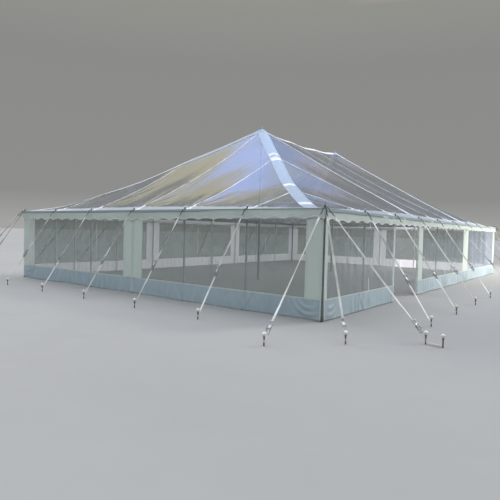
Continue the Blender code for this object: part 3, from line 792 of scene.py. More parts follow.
def lace_loops(side, x):
    """The rope loops that show along a lace line's flap, one over the next."""
    sign = SIGNS[side]
    loops = []
    inward = LOOPS_FROM
    while inward < LOOPS_TO:
        line = []
        for step in range(9):
            turn = math.pi * step / 8
            down = inward + LOOP_STEP * 0.85 * (step / 8)
            aside = LOOP_WIDTH * math.sin(turn)
            line.append(on_roof(x + aside, sign * (HALF_WIDTH - down), FLAP_LIFT + LOOP_ROPE))
        loops.append(tube(line, LOOP_ROPE, 6))
        inward += LOOP_STEP
    return joined(loops)


for side in ("front", "back"):
    both = [-PEAK_X, PEAK_X]
    shape = joined(lace_loops(side, x) for x in both)
    loops = piece(f"lace_loops_{side}", shape, PALE_ROPE, "strap_webbing")
    shape = joined(tape_on_side(side, x, FLAP_WIDTH, FLAP_LIFT, -EAVE_OUT) for x in both)
    flap = piece(f"lace_flaps_{side}", shape, FLAP_VINYL, "white_vinyl")
    flat = (FLAP_WIDTH * 2, slope + FLAP_SPARE)
    sheet(flap, flat, [f"roof_film_{side}_middle"], thick=BANDED)

# %% [markdown]
# ## Hip bands, ridge band and peak caps
#
# The hips carry most of the pull, so a wide white band runs down each, with tapes along its edges and
# doubled cross straps where the seams of both faces meet it. The band's grid has a row of points right on
# the hip, so that it folds there as the roof does.

# %% Hip bands
CROSS_STRAPS = ((4.24, 0.13), (3.93, 0.22), (2.44, 0.15), (1.14, 0.20))  # distance in from the corner, width
EDGE_TAPE = 0.030
EDGE_LAP = 0.004  # how far the edge tape reaches past the band
BAND_CELL = 0.05
BAND_FROM, BAND_TO = BORDER_IN - 0.10, HALF_WIDTH - 0.15  # distances in from the corner
BAND_FINISHES = {(-1, -1): SKY_TINTED_ROOF_VINYL, (-1, 1): GREY_BAND}
BAND_SLOPE = math.hypot(HALF_WIDTH * math.sqrt(2), PEAK - EAVE)
CROSS_LENGTH = sum(width for _, width in CROSS_STRAPS) * BAND_SLOPE / HALF_WIDTH


def on_hip(sign_x, sign_y, inward, across, lift):
    """A point by a hip, from the distance in from the corner and the distance across the band."""
    shift = across / math.sqrt(2)
    x = sign_x * (HALF_LENGTH - inward - shift)
    y = sign_y * (HALF_WIDTH - inward + shift)
    return on_roof(x, y, lift)


def hip_strip(signs, low, high, left, right_edge, lift, columns=8):
    def place(u, v):
        return on_hip(*signs, low + v * (high - low), left + u * (right_edge - left), lift)

    return grid(columns, max(2, round((high - low) / BAND_CELL)), place)


def cross_strap(signs, inward, width):
    """A doubled strap square across the band."""
    low, high = inward - width / 2, inward + width / 2
    return hip_strip(signs, low, high, -HIP_BAND / 2, HIP_BAND / 2, PATCH_LIFT)


for signs in HIP_DIPS:
    end = "left" if signs[0] < 0 else "right"
    corner = f"{'front' if signs[1] < 0 else 'back'}_{end}"
    edge = HIP_BAND / 2
    finish = BAND_FINISHES.get(signs, TAPE_VINYL)
    edges = joined([
        hip_strip(signs, BAND_FROM, BAND_TO, -edge - EDGE_LAP, -edge + EDGE_TAPE, PATCH_LIFT, 2),
        hip_strip(signs, BAND_FROM, BAND_TO, edge - EDGE_TAPE, edge + EDGE_LAP, PATCH_LIFT, 2),
    ])
    trim = piece(f"hip_edges_{corner}", edges, finish, "white_vinyl")
    rungs = joined(cross_strap(signs, *strap) for strap in CROSS_STRAPS)
    rung_finish = finish if finish is GREY_BAND else TAPE_VINYL
    cross = piece(f"hip_straps_{corner}", rungs, rung_finish, "white_vinyl")
    shape = hip_strip(signs, BAND_FROM, BAND_TO, -edge, edge, BAND_LIFT)
    band = piece(f"hip_{corner}", shape, finish, "white_vinyl", [f"hip_band_{corner}"])
    sheet(trim, (2 * EDGE_TAPE + 0.01, BAND_SLOPE), [band.name], thick=THIN)
    sheet(cross, (HIP_BAND + 0.01, CROSS_LENGTH), [band.name], thick=THIN)
    sheet(band, (HIP_BAND, BAND_SLOPE), [f"mast_{end}"], thick=BANDED)

# %% [markdown]
# The ridge band closes the roof between the masts, and sags a little on its rope. A cap of several layers
# of vinyl goes over each mast, with a steel plate and ring round the mast's pin.

# %% Ridge band
RIDGE_SHORT, TRIM_SHORT = 0.12, 0.25  # how far short of the masts the band and its tapes end


def ridge_place(u, v):
    x = (2 * v - 1) * (PEAK_X - RIDGE_SHORT)
    return on_roof(x, (u - 0.5) * RIDGE_BAND, BAND_LIFT)


def ridge_edge(sign):
    """The tape along one edge of the ridge band."""
    middle = sign * (RIDGE_BAND / 2 - EDGE_TAPE / 2)

    def place(u, v):
        return on_roof((2 * v - 1) * (PEAK_X - TRIM_SHORT), middle + (u - 0.5) * EDGE_TAPE, PATCH_LIFT)

    return grid(2, 110, place)


shape = grid(8, round(2 * PEAK_X / BAND_CELL), ridge_place)
ridge = piece("ridge_cover", shape, TAPE_VINYL, "white_vinyl", ["ridge_band"])
shape = joined(ridge_edge(sign) for sign in (-1, 1))
ridge_trim = piece("ridge_trim", shape, TAPE_VINYL, "white_vinyl")
sheet(ridge_trim, (2 * EDGE_TAPE, 2 * PEAK_X), ["ridge_cover"], thick=THIN)
sheet(ridge, (RIDGE_BAND, 2 * PEAK_X), ["mast_left", "mast_right"], thick=DOUBLED)

# %% Peak caps
CAP_REACH, CAP_INNER, CAP_FLAT, CAP_HOLE = 0.325, 0.19, 0.070, 0.022  # radii from the pin
CAP_SIDES, CAP_STEPS = 8, 64
PLATE = [(0.024, 0.0), (0.058, 0.0), (0.060, 0.002), (0.058, 0.004), (0.024, 0.004)]


def cap_height(x, y, peak_x):
    """The cap runs straight from the flat round the pin to the roof at its edge."""
    reach = math.hypot(x - peak_x, y)
    if reach <= CAP_FLAT:
        return PEAK + VINYL / 2
    edge_x = peak_x + (x - peak_x) * CAP_REACH / reach
    edge_y = y * CAP_REACH / reach
    share = (reach - CAP_FLAT) / (CAP_REACH - CAP_FLAT)
    rim = roof_height(edge_x, edge_y) + VINYL / 2
    return PEAK + VINYL / 2 + (rim - PEAK - VINYL / 2) * share


def cap_ring(peak_x, inner, outer, lift, rings):
    """One layer of a cap: an eight-sided ring of vinyl between two distances from the pin."""
    sector = 2 * math.pi / CAP_SIDES

    def place(u, v):
        turn = 2 * math.pi * u
        squared = math.cos(sector / 2) / math.cos((turn + sector / 2) % sector - sector / 2)
        reach = inner + v * (outer - inner)
        reach *= 1 + (squared - 1) * v * (outer > 0.15)
        x, y = peak_x + reach * math.cos(turn), reach * math.sin(turn)
        pucker = 0.002 * math.sin(CAP_SIDES * 3 * turn) * v
        return Vector((x, y, cap_height(x, y, peak_x) + lift + pucker))

    return grid(CAP_STEPS, rings, place)


for side in ("left", "right"):
    peak_x = SIGNS[side] * PEAK_X
    layers = [
        cap_ring(peak_x, CAP_HOLE, CAP_REACH, 0.008, 10),
        cap_ring(peak_x, CAP_HOLE, CAP_INNER, 0.010, 6),
    ]
    cap = piece(f"cap_{side}", joined(layers), SKY_TINTED_ROOF_VINYL, "white_vinyl", [f"peak_cap_{side}"])
    top = PEAK + VINYL
    plate = [
        moved(turned(PLATE, 24), Matrix.Translation((peak_x, 0, top + 0.006))),
        moved(ring(0.026, 0.004), Matrix.Translation((peak_x, 0, top + 0.012))),
        *bolts((peak_x, 0, top + 0.010), 0.045, [(0.006, 0), (0.006, 0.002), (0.003, 0.004)], 10),
    ]
    steel = piece(f"cap_plate_{side}", joined(plate), STEEL, "pole_aluminium")
    flat = (2 * CAP_REACH, 2 * CAP_REACH)
    sheet(cap, flat, [f"mast_{side}"], thick=DOUBLED)

# %% [markdown]
# ## The eave: border, valance and edge rope
#
# A white border stiffens the roof's edge, with a doubled patch under each pole pin. Its edge is pulled down
# over the valance, and a rope is sewn into that roll; its dark colour is also painted shade, the line of
# shadow under the roll. The valance hangs from the rim in scallops that hide the tops of the walls.

# %% Eave borders
def half_of(side):
    return HALF_LENGTH if side in ("front", "back") else HALF_WIDTH


def beside(side, along, out, height):
    """A point by a side: along it, out from its pole line, and up."""
    if side in ("front", "back"):
        return Vector((along, SIGNS[side] * (HALF_WIDTH + out), height))
    return Vector((SIGNS[side] * (HALF_LENGTH + out), along, height))


def border_point(side, along, out, lift):
    """A point on the roof's edge: flat over the poles, and on the slope further in."""
    flat = beside(side, along, out, 0)
    return on_roof(flat.x, flat.y, lift)


def roll_down(side, along):
    """How far the border's edge is pulled down over the valance. Near the first corner it stands up."""
    slack = noise_at(along * 0.8, RUN_SIDES.index(side) * 4.4, 2)
    if side == "front":
        return 0.070 + 0.018 * slack
    if side == "left":
        return 0.006 + (0.046 + 0.012 * slack) * eased(along, -3.3, -2.4)
    return 0.050 + 0.014 * slack


ROLL_ROWS, BORDER_ROWS = 3, 12
BORDER_CELL = 0.06
PATCH_WIDTH, PATCH_LENGTH = 0.22, 0.46
ROLL_LEAN = 0.004  # the roll lies this far outside the valance
ROLL_CUT = 0.09  # how much wider the border is cut, for its roll


def border(side):
    """From the lower edge of its roll, over the eave, and in to the clear roof."""
    half = half_of(side)

    def place(u, v):
        row = v * (ROLL_ROWS + BORDER_ROWS)
        along = (2 * u - 1) * (half + EAVE_OUT)
        if row < ROLL_ROWS:
            left = 1 - row / ROLL_ROWS
            out = EAVE_OUT + ROLL_LEAN * (0.4 + 0.6 * left)
            return beside(side, along, out, EAVE - left * roll_down(side, along))
        out = EAVE_OUT - (row - ROLL_ROWS) / BORDER_ROWS * (EAVE_OUT + BORDER_IN)
        return border_point(side, (2 * u - 1) * (half + out), out, BAND_LIFT)

    return grid(round(2 * half / BORDER_CELL), ROLL_ROWS + BORDER_ROWS, place)


def pin_patch(side, along):
    """A doubled patch under a pole's pin, narrowing up the seam."""

    def place(u, v):
        out = EAVE_OUT - 0.008 - v * PATCH_LENGTH
        width = PATCH_WIDTH * (1 - 0.75 * eased(v, 0.35, 1.0))
        return border_point(side, along + (u - 0.5) * width, out, PATCH_LIFT)

    return grid(8, 12, place)


for side in RUN_SIDES:
    pins = seam_places(half_of(side))
    shape = joined(pin_patch(side, along) for along in pins)
    patches = piece(f"pin_patches_{side}", shape, TAPE_VINYL, "white_vinyl")
    rim = piece(f"border_{side}", border(side), SHADED_BORDER_VINYL, "white_vinyl", [f"eave_border_{side}"])
    sheet(patches, (PATCH_WIDTH * len(pins), PATCH_LENGTH), [rim.name], thick=THIN)
    flat = (2 * (half_of(side) + EAVE_OUT), EAVE_OUT + BORDER_IN + ROLL_CUT)
    sheet(rim, flat, [f"side_poles_{side}"], thick=DOUBLED)

# %% [markdown]
# The valance is one long strip with a scalloped edge. It hangs straight, with soft folds that grow towards
# the bottom, and it is more crumpled by the doorway. A binding is sewn along its edge.

# %% Valances
VALANCE_DROP = 0.235
SCALLOP_DEPTH = 0.025
SCALLOPS_PER_BAY = 4
VALANCE_CORNER_GAP = 0.008
BINDING = 0.016
VALANCE_CELL = 0.022
CRUMPLED = (-6.5, -0.2)  # where the front valance is more crumpled


def valance_half(side):
    return half_of(side) + EAVE_OUT - VALANCE_CORNER_GAP


def scallop(side, along):
    """How far the valance hangs below the eave: a soft wave, with a lobe at each pole and three between."""
    half = valance_half(side)
    count = round(2 * half_of(side) / BAY) * SCALLOPS_PER_BAY
    hang = VALANCE_DROP + SCALLOP_DEPTH * math.cos(2 * math.pi * count * (along + half) / (2 * half))
    if side == "left":
        return hang - 0.045 + 0.075 * eased(along, -6.0, 1.0)
    return hang + 0.018 * noise_at(along * 0.9, RUN_SIDES.index(side), 5)


def valance_fold(side, along, share):
    """How far the valance stands out from straight, for a share of the way down it."""
    seed = 11.0 * RUN_SIDES.index(side)
    crumple = 2.8 if side == "front" and CRUMPLED[0] < along < CRUMPLED[1] else 1.3
    wide = noise_at(along * 1.9, seed, share * 0.7)
    fine = noise_at(along * 6.5, seed + 4, share * 2.0)
    return share * (0.006 + 0.016 * wide * crumple + 0.008 * fine * crumple)


def valance_point(side, along, share, lift=0.0):
    fold = valance_fold(side, along, share) + lift
    height = EAVE - 0.001 - share * (scallop(side, along) - 0.001)
    return beside(side, along, EAVE_OUT - 0.002 + max(fold, -0.030), height)


def valance(side):
    half = valance_half(side)
    columns = round(2 * half / VALANCE_CELL)
    return grid(columns, 12, lambda u, v: valance_point(side, (2 * u - 1) * half, v))


def binding(side):
    """The tape folded over the valance's scalloped edge."""
    half = valance_half(side)

    def place(u, v):
        along = (2 * u - 1) * half
        edge = BINDING / scallop(side, along)
        return valance_point(side, along, 1.004 - v * edge, 0.0014)

    return grid(round(2 * half / VALANCE_CELL), 2, place)


for side in RUN_SIDES:
    length = 2 * (half_of(side) + EAVE_OUT)
    bound = piece(f"valance_binding_{side}", binding(side), TAPE_VINYL, "white_vinyl")
    cloth = WALL_CLOTHS[side]
    strip = piece(f"valance_cloth_{side}", valance(side), cloth, "white_vinyl", [f"valance_{side}"])
    sheet(bound, (length, BINDING * 2), [strip.name], thick=THIN)
    sheet(strip, (length, VALANCE_DROP + SCALLOP_DEPTH), [f"border_{side}"], thick=THIN)

# %% The rope in the rim
RIM_ROPE = 0.006


def rim_rope(side):
    half = half_of(side) + EAVE_OUT
    steps = round(2 * half / 0.10)
    line = []
    for s in range(steps + 1):
        along = (2 * s / steps - 1) * half
        line.append(beside(side, along, EAVE_OUT + ROLL_LEAN + 0.003, EAVE - roll_down(side, along)))
    return tube(line, RIM_ROPE, 8)


for side in RUN_SIDES:
    piece(f"rim_rope_{side}", rim_rope(side), EDGE_ROPE_AND_SHADE, "strap_webbing")
print("eave: borders, valances and rim ropes on", len(RUN_SIDES), "sides")

# %% [markdown]
# ## The walls
#
# A wall panel is three bays long: a white top hem that hangs on a rope behind the valance, a white band
# down each end, a white skirt, and a clear window between. It hangs outside the poles, so it may billow out
# between them but never in through them. One function gives that slack for hems, skirts and windows alike,
# and so they stay joined. Towards the ground the skirt has folds, where the spare cloth gathers.

# %% Wall slack
SKIRT = 0.46
TOP_HEM = 0.10
HEM_FOOT = WALL_TOP - TOP_HEM
SIDE_HEM = 0.40
DOOR_HEM = 0.12
SEAM_STRIP = 0.12
BILLOW = 0.022
SKIRT_FOLD = 0.018
PLEAT, PLEAT_STEP = 0.030, 0.27
SWAG, SWAG_STEP = 0.014, 0.145
PULL_CREASE = 0.012
HEM_CURL = 0.016


def skirt_pleats(side, along, height):
    """Upright folds that come and go along a skirt."""
    seed = 5.1 * RUN_SIDES.index(side)
    bent = along + 0.20 * noise_at(along * 1.6, height * 1.5, seed)
    fold = 0.5 + 0.5 * math.cos(2 * math.pi * bent / PLEAT_STEP)
    zone = eased(noise_at(along * 0.55, seed, 4), -0.35, 0.20)
    return PLEAT * (fold**1.6 - 0.3) * zone


def corner_swags(side, along, height):
    """Curved folds that hang from a corner, where the cloth is pulled sideways."""
    across = half_of(side) - abs(along) - 0.30
    down = 0.54 - height
    wander = 0.03 * noise_at(along * 3, height * 3, 1)
    reach = math.hypot(across, down) + wander
    shape = math.sin(2 * math.pi * (reach - 0.10) / SWAG_STEP)
    ring_fade = eased(reach, 0.10, 0.24) * (1 - eased(reach, 0.42, 0.66))
    return SWAG * shape * ring_fade * eased(across / max(reach, 0.01), -0.75, 0.1)


def pull_creases(side, along, height):
    """A slanting crease from a pole's foot, as the skirt is pulled tight there."""
    half = half_of(side)
    spot = round((along + half) / BAY)
    lean = noise_at(spot * 1.7, RUN_SIDES.index(side) * 2.9, 6)
    slant = math.copysign(0.55 + 0.5 * abs(lean), lean)
    off_line = along - (spot * BAY - half) - slant * height
    depth = PULL_CREASE * eased(abs(lean), 0.05, 0.25)
    furrow, ridge_beside = math.exp(-((off_line / 0.035) ** 2)), math.exp(-(((off_line - 0.07) / 0.05) ** 2))
    return depth * (0.6 * ridge_beside - furrow)


def wall_slack(side, along, height):
    """How far a wall stands out from its straight plane."""
    seed = 7.3 * RUN_SIDES.index(side) + 1
    strip = (along + half_of(side)) / BAY
    aside = abs(strip - round(strip)) * BAY
    billow = BILLOW * math.sin(math.pi * strip) ** 2 * math.sin(math.pi * min(1, height / WALL_TOP)) ** 0.7
    billow *= 0.6 + 0.8 * noise_at(along * 0.5, seed, 0)
    soft = 0.006 * noise_at(along * 2.3, height * 0.8, seed)
    low = 1 - eased(height, 0.12, SKIRT + 0.30)
    drift = SKIRT_FOLD * (0.5 + noise_at(along * 1.3 + height, height * 0.5, seed + 5))
    folds = sum(fold(side, along, height) for fold in (skirt_pleats, corner_swags, pull_creases))
    curl = HEM_CURL * (1 - eased(height, 0.0, 0.09)) * (0.6 + noise_at(along * 1.1, seed, 9))
    out = billow + soft + low * (drift + folds) + curl
    keep_off = -0.001 - 0.25 * max(0.0, aside - 0.05)
    return max(out, keep_off)


def hem_height(side, along):
    """The height of the skirt's lower edge over the ground."""
    seed = 7.3 * RUN_SIDES.index(side) + 3
    return 0.022 * (1 + noise_at(along * 0.9, seed, 0)) + 0.006 * noise_at(along * 4, seed, 2)


def wall_point(side, along, height, lift):
    return beside(side, along, WALL_OUT + wall_slack(side, along, height) + lift, height)


print(f"skirts {SKIRT:.2f} m high, and windows {HEM_FOOT - SKIRT:.2f} m")

# %% Wall panels
WALL_CELL, SKIRT_CELL, WINDOW_CELL = 0.043, 0.03, 0.04
LAYER = 0.0016
LAP = 0.012  # how far a weld laps onto what is beside it


def wall_strip(side, start, end, low, high, lift=0.0, cell=WALL_CELL):
    """A rectangle of wall cloth between two places along a side and two heights. A low of None is the hem."""

    def place(u, v):
        along = start + u * (end - start)
        bottom = hem_height(side, along) if low is None else low
        return wall_point(side, along, bottom + v * (high - bottom), lift)

    columns = max(3, round(abs(end - start) / cell))
    rows = max(3, round((high - (low or 0)) / cell))
    return grid(columns, rows, place)


def wall_cloth(side, panels):
    """The white bands at the ends of a run's panels, each (start, end, band width)."""
    bands = [ends for a, b, hem in panels for ends in ((a, a + hem), (b - hem, b))]
    return joined(wall_strip(side, *ends, SKIRT - 0.02, HEM_FOOT + 0.02, LAYER) for ends in bands)


def skirt_cloth(side, panels):
    return joined(wall_strip(side, a, b, None, SKIRT, LAYER / 2, SKIRT_CELL) for a, b, _ in panels)


def seam_lines(side, panels):
    """The narrow welds on a wall: window edges, and the fold where two panels meet."""
    lines = []
    for start, end, hem in panels:
        lines += [(edge - LAP, edge + LAP, SKIRT, HEM_FOOT) for edge in (start + hem, end - hem)]
        lines.append((start, end, SKIRT - LAP, SKIRT + 0.014))
        lines.append((start + 0.004, start + 0.034, 0.06, HEM_FOOT))
        lines.append((end - 0.034, end - 0.004, 0.06, HEM_FOOT))
    return joined(wall_strip(side, *line, 2 * LAYER) for line in lines)


def panels_between(start, end, hem):
    """Panels three bays long that fill a run."""
    count = round((end - start) / (3 * BAY))
    length = (end - start) / count
    return [(start + i * length, start + (i + 1) * length, hem) for i in range(count)]


WALLS = {
    "front_wall_left": ("front", [(-HALF_LENGTH, DOOR_LEFT, DOOR_HEM)]),
    "front_wall_right": ("front", panels_between(DOOR_RIGHT, HALF_LENGTH, SIDE_HEM)),
    "back_wall": ("back", panels_between(-HALF_LENGTH, HALF_LENGTH, SIDE_HEM)),
    "left_wall": ("left", panels_between(-HALF_WIDTH, HALF_WIDTH, SIDE_HEM)),
    "right_wall": ("right", panels_between(-HALF_WIDTH, HALF_WIDTH, SIDE_HEM)),
}
for name, (side, panels) in WALLS.items():
    length = panels[-1][1] - panels[0][0]
    finish = WALL_CLOTHS[side]
    cloth = piece(f"{name}_cloth", wall_cloth(side, panels), finish, "white_vinyl", [name])
    skirt = piece(f"{name}_skirt", skirt_cloth(side, panels), SKIRT_CLOTHS[side], "white_vinyl")
    seams = piece(f"{name}_seams", seam_lines(side, panels), finish, "white_vinyl")
    top = wall_strip(side, panels[0][0], panels[-1][1], HEM_FOOT, WALL_TOP)
    hem = piece(f"{name}_top_hem", top, GLOWING_HEM_VINYL, "white_vinyl")
    sheet(hem, (length, TOP_HEM), [f"wall_rope_{side}"], thick=THIN)
    sheet(seams, SEAM_STRIP, [cloth.name])
    sheet(skirt, (length, SKIRT), [cloth.name], thick=THIN)
    sheet(cloth, panels[0][2], [f"side_poles_{side}"], thick=THIN)

# %% [markdown]
# The windows are clear film too, welded in edge to edge, and a wide one is joined from two rolls by an
# upright seam. They take the wall's slack, and on top of it the small creases of a sheet that was folded
# for storage.

# %% Windows
FILM_JOINS = {"front_window_1": -6.83, "left_window_2": 2.80}  # the other windows' joins are at their middles
HAZY_WINDOW = "front_window_3"
WELD = 0.026


def film_crease(side, along, height, start, end):
    """How far the film stands off the wall's slack in small creases, except at its edges."""
    seed = 9.1 * RUN_SIDES.index(side)
    inside = min(along - start, end - along, height - SKIRT, HEM_FOOT - height)
    slanting = noise_at((along + 0.7 * height) * 3.2, (along - height) * 0.6, seed)
    upright = noise_at(along * 5.5, height * 0.7, seed + 3)
    return (0.012 * (0.5 - abs(slanting)) + 0.006 * upright) * eased(inside, 0.02, 0.25)


def window_film(side, start, end):
    low, high = SKIRT - LAP, HEM_FOOT + LAP

    def place(u, v):
        along, height = start + u * (end - start), low + v * (high - low)
        return wall_point(side, along, height, film_crease(side, along, height, start, end))

    return grid(round((end - start) / WINDOW_CELL), round((high - low) / WINDOW_CELL), place)


def wall_of(side, along):
    """The wall that a window is part of."""
    if side != "front":
        return f"{side}_wall"
    return "front_wall_left" if along < DOOR_LEFT else "front_wall_right"


def window_ends(name):
    """A window's two ends along its wall, from its CAD box."""
    low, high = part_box(name)
    return (low.x, high.x) if name.startswith(("front", "back")) else (low.y, high.y)


for name in sorted(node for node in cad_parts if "_window_" in node):
    side = name.split("_")[0]
    start, end = window_ends(name)
    finish = HAZY_FILM if name == HAZY_WINDOW else WALL_FILM
    film = piece(f"{name}_film", window_film(side, start - LAP, end + LAP), finish, "clear_vinyl", [name])
    join = FILM_JOINS.get(name, (start + end) / 2)
    shape = wall_strip(side, join - WELD / 2, join + WELD / 2, SKIRT, HEM_FOOT, LAYER)
    weld = piece(f"{name}_weld", shape, TAPE_VINYL, "clear_vinyl")
    sheet(weld, (WELD, HEM_FOOT - SKIRT), [film.name])
    flat = (end - start + 2 * LAP, HEM_FOOT - SKIRT + 2 * LAP)
    sheet(film, flat, [f"{wall_of(side, start)}_top_hem"])

# %% [markdown]
# ## Poles
#
# The CAD's poles have the right place and size but few sides. A side pole is a plain aluminium tube with a
# pin in its top and a plastic foot, and a mast is made from two tubes with a sleeve over the joint. The
# rope that the walls hang on is tied from pole to pole, and is laid from three strands.

# %% Side poles and masts
POLE_RADIUS = 0.025
PIN_RADIUS = 0.008
PIN_RISE = 0.11
MAST_RADIUS = 0.050
MAST_PIN_RISE = 0.14


def side_pole():
    top = EAVE - 0.001
    foot = [(0.027, 0.0), (0.029, 0.004), (0.029, 0.05), (POLE_RADIUS, 0.056)]
    head = [(POLE_RADIUS, top - 0.012), (POLE_RADIUS - 0.003, top - 0.004), (0.016, top)]
    pin_top = EAVE + PIN_RISE
    pin = [(PIN_RADIUS, top), (PIN_RADIUS, pin_top - 0.008), (PIN_RADIUS - 0.004, pin_top)]
    return turned(foot + head + pin, 18)


def mast():
    joint, tip = PEAK * 0.52, PEAK + MAST_PIN_RISE
    foot = [(0.15, 0.0), (0.15, 0.010), (0.146, 0.012), (0.062, 0.012), (0.060, 0.09), (MAST_RADIUS, 0.095)]
    sleeve = [(MAST_RADIUS, joint - 0.16), (0.056, joint - 0.155), (0.056, joint + 0.155)]
    head = [(MAST_RADIUS, joint + 0.16), (MAST_RADIUS, PEAK - 0.012), (0.044, PEAK - 0.002)]
    pin = [(0.016, PEAK - 0.001), (0.016, tip - 0.02), (0.012, tip - 0.004), (0.005, tip)]
    return turned(foot + sleeve + head + pin, 28)


def pole_spots(side):
    """The poles of a side. The long sides also have the corner poles."""
    half = half_of(side)
    inner = seam_places(half)
    return [-half, *inner, half] if side in ("front", "back") else inner


def poles_at(side, places):
    spots = [Matrix.Translation(beside(side, along, 0, 0)) for along in places]
    return joined(moved(side_pole(), spot) for spot in spots)


for side in RUN_SIDES:
    shape = poles_at(side, seam_places(half_of(side)))
    piece(f"poles_{side}", shape, POLE_METAL, "pole_aluminium", [f"side_poles_{side}"])
# The corner poles take the dark copy of the aluminium, painted shade where the two walls meet.
for side in ("front", "back"):
    shape = poles_at(side, (-HALF_LENGTH, HALF_LENGTH))
    piece(f"corner_poles_{side}", shape, SHADED_CORNER_METAL, "pole_aluminium")
for side in ("left", "right"):
    foot_x = SIGNS[side] * PEAK_X
    heads = bolts((foot_x, 0, 0.012), 0.115, [(0.013, 0), (0.013, 0.008), (0.008, 0.010)], 6)
    shape = joined([moved(mast(), Matrix.Translation((foot_x, 0, 0))), *heads])
    piece(f"mast_tube_{side}", shape, SHADED_MAST_METAL, "pole_aluminium", [f"mast_{side}"])
print("poles:", sum(len(pole_spots(side)) for side in RUN_SIDES), "and 2 masts")

# %% Wall ropes
WALL_ROPE, ROPE_STEP, ROPE_SAG = 0.005, 0.045, 0.006
ROPE_HEIGHT = WALL_TOP - 0.04


def laid_rope(points, radius, turns_per_metre, sides):
    """Three strands twisted round a line."""
    shapes = []
    lengths = [0.0]
    for a, b in zip(points, points[1:]):
        lengths.append(lengths[-1] + (Vector(b) - Vector(a)).length)
    for strand in range(3):
        line = []
        for (place, a, b), length in zip(frames_along(points), lengths):
            turn = 2 * math.pi * (length * turns_per_metre + strand / 3)
            line.append(place + radius * 0.5 * (math.cos(turn) * a + math.sin(turn) * b))
        shapes.append(tube(line, radius * 0.55, sides))
    return joined(shapes)


for side in RUN_SIDES:
    spots = pole_spots(side)
    steps = round((spots[-1] - spots[0]) / ROPE_STEP)
    line = []
    for s in range(steps + 1):
        along = spots[0] + (spots[-1] - spots[0]) * s / steps
        strip = (along + half_of(side)) / BAY
        sag = ROPE_SAG * math.sin(math.pi * strip) ** 2
        line.append(beside(side, along, POLE_RADIUS + 0.001, ROPE_HEIGHT - sag))
    piece(f"wall_rope_{side}", laid_rope(line, WALL_ROPE, 9, 5), PALE_ROPE, "strap_webbing")
    print(f"wall_rope_{side}: {spots[-1] - spots[0]:.2f} m")

# %% [markdown]
# ## Guys
#
# Each guy starts as a dark rope loop over a pole's pin. The loop crosses the eave and holds a steel ring,
# and a webbing strap hooks into the ring. A ratchet partway down tightens it, and a shorter strap goes on
# to a steel stake with a white ball on its head, so that nobody trips over it. The corners have three guys
# each. The long sides' stakes stand towards the nearer corner, and only the straps that run along them have
# two stakes.

# %% Where the guys go
END_REACH, SIDE_REACH, SIDE_SLANT = 1.60, 1.90, 0.88
CORNER_FEET = ((2.53, 0.32, 1), (0.51, 2.29, 2), (1.48, 1.26, 1))  # along X, along Y, stakes
RATCHET_UP, CORNER_RATCHET_UP = 0.95, 0.14  # how far up the strap from its foot
MOST_TWIST = 1.5
LINK_CLEAR, LINK_DROP, LINK_LIFT = 0.018, 0.17, 0.0103
STRAP_FOOT, STAKE_RISE = 0.08, 0.16  # heights over the ground
STAKE_PAIR = 0.31
BALL_RADIUS = 0.038


def foot_seed(pole, offset):
    """A place in the noise that differs from guy to guy."""
    return 3.7 * (pole + offset) + Vector((0.3, 0.6, 0.9))


def guy(pole, offset, stakes, ratchet_up):
    out = offset.normalized()
    edge = EAVE_OUT / max(abs(out.x), abs(out.y))
    bend = Vector((edge + LINK_CLEAR, 0, EAVE + LINK_LIFT))
    foot = Vector((offset.length, 0, STRAP_FOOT))
    return {
        "to_world": Matrix.Translation(pole) @ Matrix.Rotation(math.atan2(out.y, out.x), 4, "Z"),
        "bend": bend,
        "foot": foot,
        "slope": (foot - bend).normalized(),
        "stakes": stakes,
        "ratchet_up": ratchet_up,
        "twist": MOST_TWIST * (0.5 + noise.noise(foot_seed(pole, offset))),
    }


def guys_of(side):
    found = []
    long_side = side in ("front", "back")
    for along in seam_places(half_of(side)):
        slant = math.copysign(SIDE_SLANT, along) if long_side else 0
        pole = beside(side, along, 0, 0)
        foot = beside(side, along + slant, SIDE_REACH if long_side else END_REACH, 0)
        found.append(guy(pole, foot - pole, 1, RATCHET_UP))
    for sign_x in (-1, 1) if long_side else ():
        pole = Vector((sign_x * HALF_LENGTH, SIGNS[side] * HALF_WIDTH, 0))
        for along_x, along_y, stakes in CORNER_FEET:
            offset = Vector((sign_x * along_x, SIGNS[side] * along_y, 0))
            found.append(guy(pole, offset, stakes, CORNER_RATCHET_UP))
    return found


# %% Rope links and rings
LINK_ROPE = 0.0055
LEG_GAP = 0.008
PIN_TURNS = 5  # turns of the rope round a pin


def rope_link(g):
    """A loop of rope: round the pin, two legs over the eave's edge, and through the ring."""
    bend, slope = g["bend"], g["slope"]
    low = bend + slope * (LINK_DROP / -slope.z)
    shapes = []
    for leg in (-1, 1):
        aside = Vector((0, leg * LEG_GAP, 0))
        line = [Vector((0.012, leg * 0.016, bend.z + 0.012)), Vector((0.035, 0, bend.z)) + aside * 1.2]
        line += [bend + aside - Vector((0.02, 0, 0)), bend + aside * 0.9 + Vector((0.004, 0, -0.003))]
        for share in (0.15, 0.4, 0.7, 1.0):
            line.append(bend.lerp(low, share) + aside * (1 - 0.2 * share))
        shapes.append(tube(line, LINK_ROPE, 8))
    turns = []
    for turn in range(PIN_TURNS):
        coil = ring(0.016 - 0.001 * turn, LINK_ROPE, 14, 6)
        turns.append(moved(coil, Matrix.Translation((0, 0, bend.z + 0.014 + 0.010 * turn))))
    whipping = tube([bend.lerp(low, 0.80), bend.lerp(low, 0.90)], 0.013, 10)
    return joined([*shapes, *turns, whipping]), low


def along_slope(g, start):
    """A matrix with X down the strap, Y level across it and Z off it, at a point."""
    slope = g["slope"]
    level = Vector((0, 1, 0))
    off = slope.cross(level)
    return Matrix.Translation(start) @ Matrix((slope, level, off)).transposed().to_4x4()


